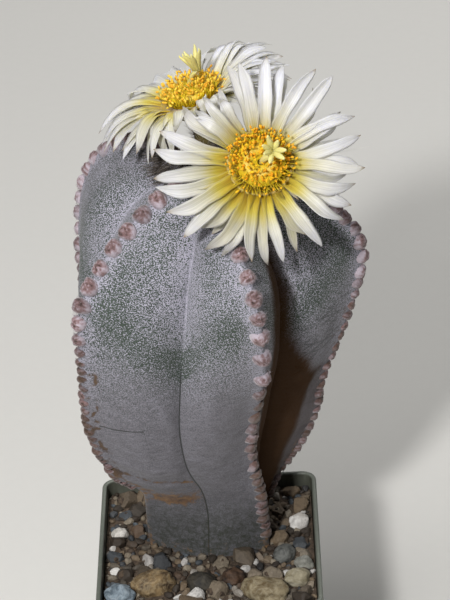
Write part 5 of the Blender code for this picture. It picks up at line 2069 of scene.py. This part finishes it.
    def tube_line(self, t: float) -> tuple[Vector, Vector, Vector, float]:
        """Follow the flower's tube from the skin to the funnel.

        Args:
            t: Share of its length.

        Returns:
            Its centre, heading, a direction across it and its radius.
        """
        out = self.seat_axis.normalized()
        start = self.seat + out * (SEAT_PROUD + GAP)
        end = self.matrix @ Vector((0.0, 0.0, CORE_BOTTOM - GAP))
        end_axis = self.axis.normalized()
        reach = 0.45 * (end - start).length
        centre = Vector(bezier((start - out * 1.4, start + out * reach,
                                end - end_axis * reach, end + end_axis * 0.6), t))
        heading = out.lerp(end_axis, t).normalized()
        side = Vector((1.0, 0.0, 0.0)).cross(heading).normalized()
        radius = self.tube_radius + self.tube_swell * math.sin(0.5 * math.pi * t)
        return centre, heading, side, radius

    def build_tube(self) -> None:
        """Build the scaly, hairy tube from the skin to the funnel."""
        sheaf = Sheaf(self.source(3))
        chance = sheaf.chance
        points = []
        for share in np.linspace(0.0, 1.0, self.tube_sections):
            centre, heading, side, radius = self.tube_line(share)
            points += ring(centre, side, heading.cross(side), (radius, radius), self.tube_sides)
        sheaf.add(points, tube_faces(self.tube_sections, self.tube_sides),
                  [(0.25, 0.0, chance.random()) for _ in points])
        for number in range(self.scale_count):
            centre, heading, side, radius = self.tube_line((number + 0.5) / self.scale_count)
            way = Matrix.Rotation(GOLDEN_ANGLE * number, 3, heading) @ side
            self.add_scale(sheaf, centre + way * (radius - 0.15), way, heading)
        for _ in range(self.tube_hairs):
            centre, heading, side, radius = self.tube_line(chance.random())
            way = Matrix.Rotation(chance.uniform(0, 6.28), 3, heading) @ side
            lean = (way + heading * chance.uniform(0.2, 1.2)).normalized()
            line = bent_line(centre + way * (radius - 0.2), lean,
                             chance.uniform(*self.hair_length), heading * 0.6, 3)
            sheaf.add_hair(line, self.hair_radius, (0.0, 1.0), (0.0, 0.8), slot=1)
        for _ in range(self.silk_count):
            centre, _, _, radius = self.tube_line(chance.uniform(0.75, 1.0))
            way = Vector((1.0, chance.uniform(-0.7, 0.2), chance.uniform(-0.2, 0.8))).normalized()
            sag = Vector((chance.gauss(0, 3.0), chance.gauss(0, 2.0), chance.gauss(0, 4.0)))
            line = bent_line(centre + way * (radius - 0.2), way,
                             chance.uniform(*self.silk_length), sag, 8)
            sheaf.add_hair(line, self.hair_radius, (0.6, 1.0), (0.0, 0.9), slot=1)
        finishes = [PlantTissue("tube_scale_skin", "#5f6038", "#7a4a28", 0.6, 0.7, 0.05),
                    Wool("tube_hair", "#8d8174", "#b7ab9b", "#e4ddd0")]
        sheaf.build(self.name("scales"), finishes, Slot.TUBE, self.name("tube"))

    def add_scale(self, sheaf: Sheaf, root: Vector, way: Vector, heading: Vector) -> None:
        """Add one pointed scale that lies along the tube.

        Args:
            sheaf: Mesh that takes it.
            root: Where it leaves the tube.
            way: The way out of the tube.
            heading: The way up the tube.
        """
        across = heading.cross(way).normalized()
        length = sheaf.chance.uniform(*self.scale_length)
        stations = [(root + heading * (length * share) + way * (0.5 * share * share), across, way,
                     0.75 * (1 - share ** 1.8) + 0.03, 0.22, -0.1, share ** 1.5, 0.0)
                    for share in np.linspace(0.0, 1.0, 6)]
        points, faces, marks = sweep_blade(stations, 5)
        tone = sheaf.chance.random()
        sheaf.add(points, faces, [(mark[0], 0.0, tone) for mark in marks])

    def build(self) -> None:
        """Build every piece of the flower."""
        self.build_tube()
        self.build_tepals()
        self.build_stamens()
        self.build_style()


def rear_tepal_rows() -> list:
    """Lay out the tepals of the rear flower.

    Returns:
        Bearing, reach, layer and lift of each.
    """
    chance = random.Random(23)
    rows = []
    for number in range(31):
        bearing = 360.0 * number / 31 + chance.uniform(-2.0, 2.0)
        layer = number % 3
        reach = 30.5 + chance.uniform(-1.2, 0.6)
        leftness = max(0.0, -math.cos(math.radians(bearing)))
        lift = -3.5 - 4.0 * leftness + chance.uniform(-1.0, 0.5)
        if 236.0 < bearing < 282.0:
            reach = 22.0 + chance.uniform(0.0, 2.5)
            lift = -8.5 - chance.uniform(0.0, 4.0)
        elif 282.0 <= bearing < 334.0:
            reach = 18.0 + chance.uniform(0.0, 3.4)
            lift = chance.uniform(-4.6, -1.6)
        rows.append((bearing, reach, layer, lift))
    for number in range(14):
        bearing = 140.0 + 9.5 * number + chance.uniform(-3.0, 3.0)
        rows.append((bearing, chance.uniform(25.0, 28.5), 1 + number % 2,
                     chance.uniform(-10.5, -7.0)))
    for number in range(12):
        bearing = -14.0 + 9.0 * number + chance.uniform(-3.0, 3.0)
        rows.append((bearing, chance.uniform(26.0, 31.5), number % 2, chance.uniform(-2.0, 2.5)))
    return rows


@dataclass
class Pot:
    """The moulded square pot."""

    corner_steps: int = 8
    drain_sides: int = 28

    def ring(self, half: float, radius: float, height: float) -> list[tuple]:
        """Place one level ring: a square with round corners.

        Args:
            half: Half its width.
            radius: Radius of its corners.
            height: Its height.

        Returns:
            Its points.
        """
        points = []
        centre = Vector((half - radius, half - radius, 0.0))
        for corner in range(4):
            turn = Matrix.Rotation(math.radians(90 * corner), 3, "Z")
            for step in range(self.corner_steps + 1):
                angle = math.radians(90.0 * step / self.corner_steps)
                offset = Vector((math.cos(angle), math.sin(angle), 0.0)) * radius
                points.append((*(turn @ (centre + offset)).xy, height))
        return points

    def wall_half(self, height: float) -> float:
        """Return the outer half width of the pot below its rim band."""
        share = height / (POT_HEIGHT - BAND_HEIGHT)
        return FOOT_HALF + (RIM_HALF - BAND_STEP - 0.5 - FOOT_HALF) * share

    def build(self) -> None:
        """Build the shell with its stepped rim, rounded lip and drain holes."""
        band = POT_HEIGHT - BAND_HEIGHT
        corner = CORNER_RADIUS
        inner = CORNER_RADIUS - WALL
        mouth = RIM_HALF - RIM_WALL
        neck = self.wall_half(band - 0.6)
        outside = [(FOOT_HALF - 0.6, corner - 0.6, 0.0), (FOOT_HALF - 0.17, corner - 0.17, 0.25),
                   (FOOT_HALF, corner, 0.8), (self.wall_half(20.0), corner, 20.0),
                   (self.wall_half(40.0), corner, 40.0), (neck, corner, band - 0.6),
                   (neck + 0.15, corner, band - 0.15), (RIM_HALF - 0.4, corner, band),
                   (RIM_HALF - 0.12, corner, band + 0.3), (RIM_HALF, corner, band + 1.0),
                   (RIM_HALF, corner, POT_HEIGHT - 0.6),
                   (RIM_HALF - 0.12, corner, POT_HEIGHT - 0.22),
                   (RIM_HALF - 0.35, corner, POT_HEIGHT - 0.04)]
        inside = [((RIM_HALF + mouth) / 2, (corner + inner) / 2, POT_HEIGHT),
                  (mouth + 0.35, inner, POT_HEIGHT - 0.04),
                  (mouth + 0.1, inner, POT_HEIGHT - 0.25), (mouth, inner, POT_HEIGHT - 0.7),
                  (mouth - 0.2, inner, band + 1.2),
                  (self.wall_half(band) - WALL, inner, band - 0.4),
                  (self.wall_half(FLOOR) - WALL, inner, FLOOR)]
        rings = [self.ring(*row) for row in outside + inside]
        sides = len(rings[0])
        # The inner wall's points, below the lip, take the painted shade.
        unshaded_count = (len(outside) + 3) * sides
        points = [point for ring_points in rings for point in ring_points]
        inner_shade = [0.0] * unshaded_count + [1.0] * (len(points) - unshaded_count)
        sheaf = Sheaf()
        sheaf.add(points, tube_faces(len(rings), sides), (0.0, 0.0, 0.0), inside=inner_shade)
        item = sheaf.shape("pot_shell")
        self.cut_drains(item)
        item.data.set_sharp_from_angle(angle=math.radians(40))
        settle(item, [MouldedPolypropylene("polypropylene_moulded")], Slot.PLASTIC, "pot")

    def cut_drains(self, item: Object) -> None:
        """Cut the drain holes through the pot's floor.

        Args:
            item: The shell.
        """
        sheaf = Sheaf()
        profile = ((DRAIN_RADIUS, -1.0), (DRAIN_RADIUS, FLOOR + 1.0))
        for x in (-DRAIN_OFFSET, DRAIN_OFFSET):
            for y in (-DRAIN_OFFSET, DRAIN_OFFSET):
                points = lathe(Matrix.Translation((x, y, 0.0)), profile, self.drain_sides)
                sheaf.add(points, tube_faces(2, self.drain_sides), (0.0, 0.0, 0.0))
        cutter = sheaf.shape("drain_cutter")
        modifier = item.modifiers.new("drains", "BOOLEAN")
        modifier.operation = "DIFFERENCE"
        modifier.object = cutter
        modifier.solver = "EXACT"
        bpy.context.view_layer.update()
        graph = bpy.context.evaluated_depsgraph_get()
        cut = bpy.data.meshes.new_from_object(item.evaluated_get(graph))
        item.modifiers.remove(modifier)
        item.data = cut
        bpy.data.objects.remove(cutter, do_unlink=True)


@dataclass
class Bed:
    """The compost's surface: grit of two sizes and the larger stones."""

    chips: int = 900
    chip_size: tuple = (0.7, 1.7)
    chip_cuts: int = 11
    coarse_shape: tuple = (1.4, 1.2, 1.1)
    coarse_detail: int = 3
    fine_detail: int = 2
    stone_detail: int = 5
    stone_dents: tuple = ((0.22, 1.3), (0.05, 3.4), (0.015, 11.0))
    seed: int = 17
    outline: list = field(init=False)

    def outside(self, x: float, y: float) -> float:
        """Measure how far a plan point lies outside the stem.

        Args:
            x: The point's x.
            y: The point's y.

        Returns:
            The distance in millimetres, or 0 where the point is inside.
        """
        point = Vector((x, y))
        nearest = math.inf
        inside = False
        for number, there in enumerate(self.outline):
            here = self.outline[number - 1]
            edge = there - here
            share = min(max((point - here).dot(edge) / max(edge.length_squared, 1e-9), 0.0), 1.0)
            nearest = min(nearest, (here + edge * share - point).length)
            if (here.y > point.y) != (there.y > point.y):
                crossing = here.x + (point.y - here.y) * edge.x / edge.y
                inside = inside != (point.x < crossing)
        return 0.0 if inside else nearest

    def is_clear(self, x: float, y: float, radius: float, share: float) -> bool:
        """Say whether a chip misses the stem and every larger stone.

        Args:
            x: The chip's x.
            y: The chip's y.
            radius: Its radius.
            share: How much of the radius it keeps from the stem.

        Returns:
            Whether it is clear of them.
        """
        return self.outside(x, y) >= share * radius and all(
            math.hypot(x - stone_x, y - stone_y) >= 0.5 * (sizes[0] + sizes[1]) + 0.4 * radius
            for _, stone_x, stone_y, sizes, _ in STONES)

    def add_chip(self, sheaf: Sheaf, place: Vector, sizes: tuple, detail: int) -> None:
        """Add one broken chip of rock.

        Args:
            sheaf: Mesh that takes it.
            place: Its centre.
            sizes: Its half sizes.
            detail: Subdivisions of its ball.
        """
        chance = sheaf.chance
        shift = Vector([chance.uniform(0, 50) for _ in range(3)])
        turn = (Matrix.Rotation(chance.uniform(0, 6.28), 3, "Z")
                @ Matrix.Rotation(chance.uniform(-0.5, 0.5), 3, "X"))
        cuts = [(Vector([chance.gauss(0, 1) for _ in range(3)]).normalized(),
                 chance.uniform(0.5, 0.82)) for _ in range(self.chip_cuts)]

        def reach(way: Vector) -> float:
            """Return how far the chip reaches in a direction."""
            depths = [depth / max(way.dot(cut), 0.2) for cut, depth in cuts if way.dot(cut) > 0.0]
            return min([1.0 + 0.2 * noise.noise(way * 1.6 + shift), *depths])

        points, faces = knob(detail, sizes, turn, place, reach)
        sheaf.add(points, faces, (0.0, 0.0, chance.random()))

    def build_grit(self, stem: RibbedStem) -> None:
        """Build the coarse and the fine grit round the stem.

        Args:
            stem: The stem that the grit keeps clear of.
        """
        level = int(round((SOIL_LEVEL - stem.foot_z) / stem.side_pitch))
        self.outline = [Vector(point[:2]) for point in stem.grid[level, ::3]]
        taken = []
        chance = random.Random(GRIT_SEED)
        shaper = random.Random(self.seed)
        coarse = Sheaf(shaper)
        edge = RIM_HALF - RIM_WALL - GAP
        limit = edge - GRIT_SIZE[1] - 0.4
        steps = int(2 * limit / GRIT_PITCH)
        for row, column in np.ndindex(steps + 1, steps + 1):
            x, y = (min(max(-limit + 2 * limit * (number + chance.uniform(-GRIT_SPREAD, GRIT_SPREAD))
                            / steps, -limit), limit) for number in (column, row))
            radius = chance.uniform(*GRIT_SIZE)
            lift = chance.uniform(*GRIT_LIFT) * radius
            chance.uniform(0.0, 180.0)
            if self.is_clear(x, y, radius, 0.8):
                self.add_chip(coarse, Vector((x, y, SOIL_LEVEL + lift)),
                              tuple(radius * share for share in self.coarse_shape),
                              self.coarse_detail)
                taken.append((x, y, radius))
        coarse.build("grit_coarse", [MixedGrit("grit_washed_coarse")], Slot.GRIT, smooth=False)
        fine = Sheaf(shaper)
        for _ in range(self.chips * 6):
            radius = shaper.uniform(*self.chip_size)
            x = shaper.uniform(-edge + radius, edge - radius)
            y = shaper.uniform(-edge + radius, edge - radius)
            if len(taken) > self.chips:
                break
            if self.is_clear(x, y, radius, 0.7) and all(
                    math.hypot(x - a, y - b) >= 0.78 * (radius + c) for a, b, c in taken):
                sizes = (radius * 1.4, radius * shaper.uniform(0.8, 1.25), radius)
                self.add_chip(fine, Vector((x, y, SOIL_LEVEL + 0.25 * radius)), sizes,
                              self.fine_detail)
                taken.append((x, y, radius))
        fine.build("grit_fine", [MixedGrit("grit_washed_fine")], Slot.GRIT, smooth=False)

    def stone_reach(self, shift: Vector, way: Vector) -> float:
        """Return how far a dented stone reaches in a direction."""
        return 1.0 + sum(depth * noise.noise(way * pitch + shift)
                         for depth, pitch in self.stone_dents)

    def build_stones(self) -> None:
        """Build the larger stones, each of its own rock."""
        rocks = {
            "stone_ochre": ("#3a2a19", "#836d4b", "#ab9c7d"),
            "stone_blue_grey": ("#4c5861", "#8d9aa3", "#a9b0b3"),
            "stone_cream": ("#57472c", "#8c8065", "#a79f8a"),
            "stone_pale": ("#6e654c", "#968e78", "#aaa698"),
            "stone_grey": ("#353634", "#62635f", "#797975"),
            "stone_oval": ("#62625b", "#88877e", "#9e9e97"),
            "stone_quartz_right": ("#aca69f", "#d6d2cd", "#e5e3de"),
            "stone_quartz_left": ("#a7a29a", "#cfcbc4", "#e1ded9"),
            "stone_dark": ("#15130e", "#37322a", "#534c3c"),
            "stone_brown": ("#1f130b", "#4a3423", "#64513f"),
        }
        for number, (node, x, y, sizes, turn) in enumerate(STONES, 1):
            shift = Vector((number * 3.7, number * 1.9, number * 5.3))
            centre = Vector((x, y, SOIL_LEVEL + sizes[2] * (1.0 - 2 * STONE_SUNK)))
            rotation = Matrix.Rotation(math.radians(turn), 3, "Z")
            sheaf = Sheaf()
            points, faces = knob(self.stone_detail, sizes, rotation, centre,
                                 partial(self.stone_reach, shift))
            sheaf.add(points, faces, (0.0, 0.0, 0.5))
            rock = WeatheredRock(node + "_rock", *rocks[node])
            sheaf.build(node + "_rock", [rock], Slot.PEBBLE, node)


@dataclass
class Studio:
    """The floor, the soft lights and the camera."""

    floor_half: float = 4.0

    def build_floor(self) -> None:
        """Lay the pale floor under the pot."""
        half = self.floor_half
        mesh = bpy.data.meshes.new("floor")
        mesh.from_pydata([(-half, -half, 0), (half, -half, 0), (half, half, 0),
                          (-half, half, 0)], [], [(0, 1, 2, 3)])
        mesh.materials.append(StudioPaper("studio_paper").make())
        show("floor", mesh)

    def add_light(self, name: str, place: tuple, aim: tuple, size: float, watts: float,
                  spread: float = 180.0) -> None:
        """Add one square soft light.

        Args:
            name: The light's name.
            place: Where it stands, in metres.
            aim: The point that it faces, in metres.
            size: Its side in metres.
            watts: Its power.
            spread: Full angle of its beam.
        """
        light = bpy.data.lights.new(name, "AREA")
        light.size = size
        light.energy = watts
        light.spread = math.radians(spread)
        item = show(name, light)
        item.location = place
        item.rotation_euler = (Vector(aim) - Vector(place)).to_track_quat("-Z", "Y").to_euler()

    def build_lights(self) -> None:
        """Set the key light at the upper left front, and a soft one on the floor behind."""
        self.add_light("key_light", (-0.27, -0.92, 0.88), (0.0, 0.0, 0.18), 0.1, 13.2)
        self.add_light("top_light", (-0.25, -0.25, 1.1), (0.0, 0.0, 0.2), 0.5, 4.6)
        self.add_light("floor_light", (0.5, 1.1, 1.5), (0.3, 0.8, 0.0), 0.8, 4.5, 100.0)
        world = bpy.data.worlds.new("studio_air")
        world.use_nodes = True
        sky = world.node_tree.nodes["Background"]
        sky.inputs["Color"].default_value = linear("#eef0f2")
        sky.inputs["Strength"].default_value = 0.07
        bpy.context.scene.world = world

    def build_camera(self) -> None:
        """Set the camera at the photograph's angle."""
        azimuth, elevation, roll = (math.radians(angle) for angle in
                                    (CAMERA_AZIMUTH, CAMERA_ELEVATION, CAMERA_ROLL))
        back = Vector((math.sin(azimuth) * math.cos(elevation),
                       -math.cos(azimuth) * math.cos(elevation), math.sin(elevation)))
        right = (-back).cross(Vector((0.0, 0.0, 1.0))).normalized()
        up = right.cross(-back).normalized()
        camera = bpy.data.cameras.new("photo_camera")
        camera.lens = CAMERA_LENS
        camera.sensor_width = CAMERA_SENSOR
        camera.clip_start = 0.01
        item = show("photo_camera", camera)
        item.matrix_world = frame_of(right * math.cos(roll) - up * math.sin(roll),
                                     right * math.sin(roll) + up * math.cos(roll), back,
                                     CAMERA_PLACE)
        bpy.context.scene.camera = item

    def build(self) -> None:
        """Build the whole studio."""
        self.build_camera()
        self.build_floor()
        self.build_lights()
        bpy.context.scene.view_settings.view_transform = "Standard"


def main() -> None:
    """Load the frame and build every piece around it."""
    logging.basicConfig(level=logging.INFO)
    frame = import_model()
    Studio().build()
    Pot().build()
    stem = RibbedStem()
    stem.lay_out()
    stem.build_skin()
    stem.build_areoles()
    blooms = (
        Bloom("front", Vector((21.5, -20.0, 216.6)), Vector((0.03, -0.84, 0.54)),
              Vector((15.5, 3.2, 203.4)), Vector((0.25, -0.3, 0.92)), list(FRONT_TEPALS),
              2.6, 31, (3.2, 2.8), 3.3, 5.4, 10.2, silk_count=70, lobe_size=1.0),
        Bloom("rear", Vector((1.0, 14.5, 225.0)), Vector((-0.268, 0.063, 0.961)),
              Vector((5.0, 14.2, 203.6)), Vector((0.02, 0.1, 1.0)), rear_tepal_rows(),
              2.8, 57, (4.6, 0.6), 3.3, 7.0, 9.9, stamen_count=250,
              pollen=("#f2a81c", "#ffd94e")),
    )
    for bloom in blooms:
        bloom.build()
    CrownWool().build(stem, [bloom.seat for bloom in blooms])
    bed = Bed()
    bed.build_grit(stem)
    bed.build_stones()
    substrate = frame["nodes"]["substrate"]
    substrate.data.materials.clear()
    substrate.data.materials.append(PeatMix("peat_and_pumice").make())


if __name__ == "__main__":
    main()
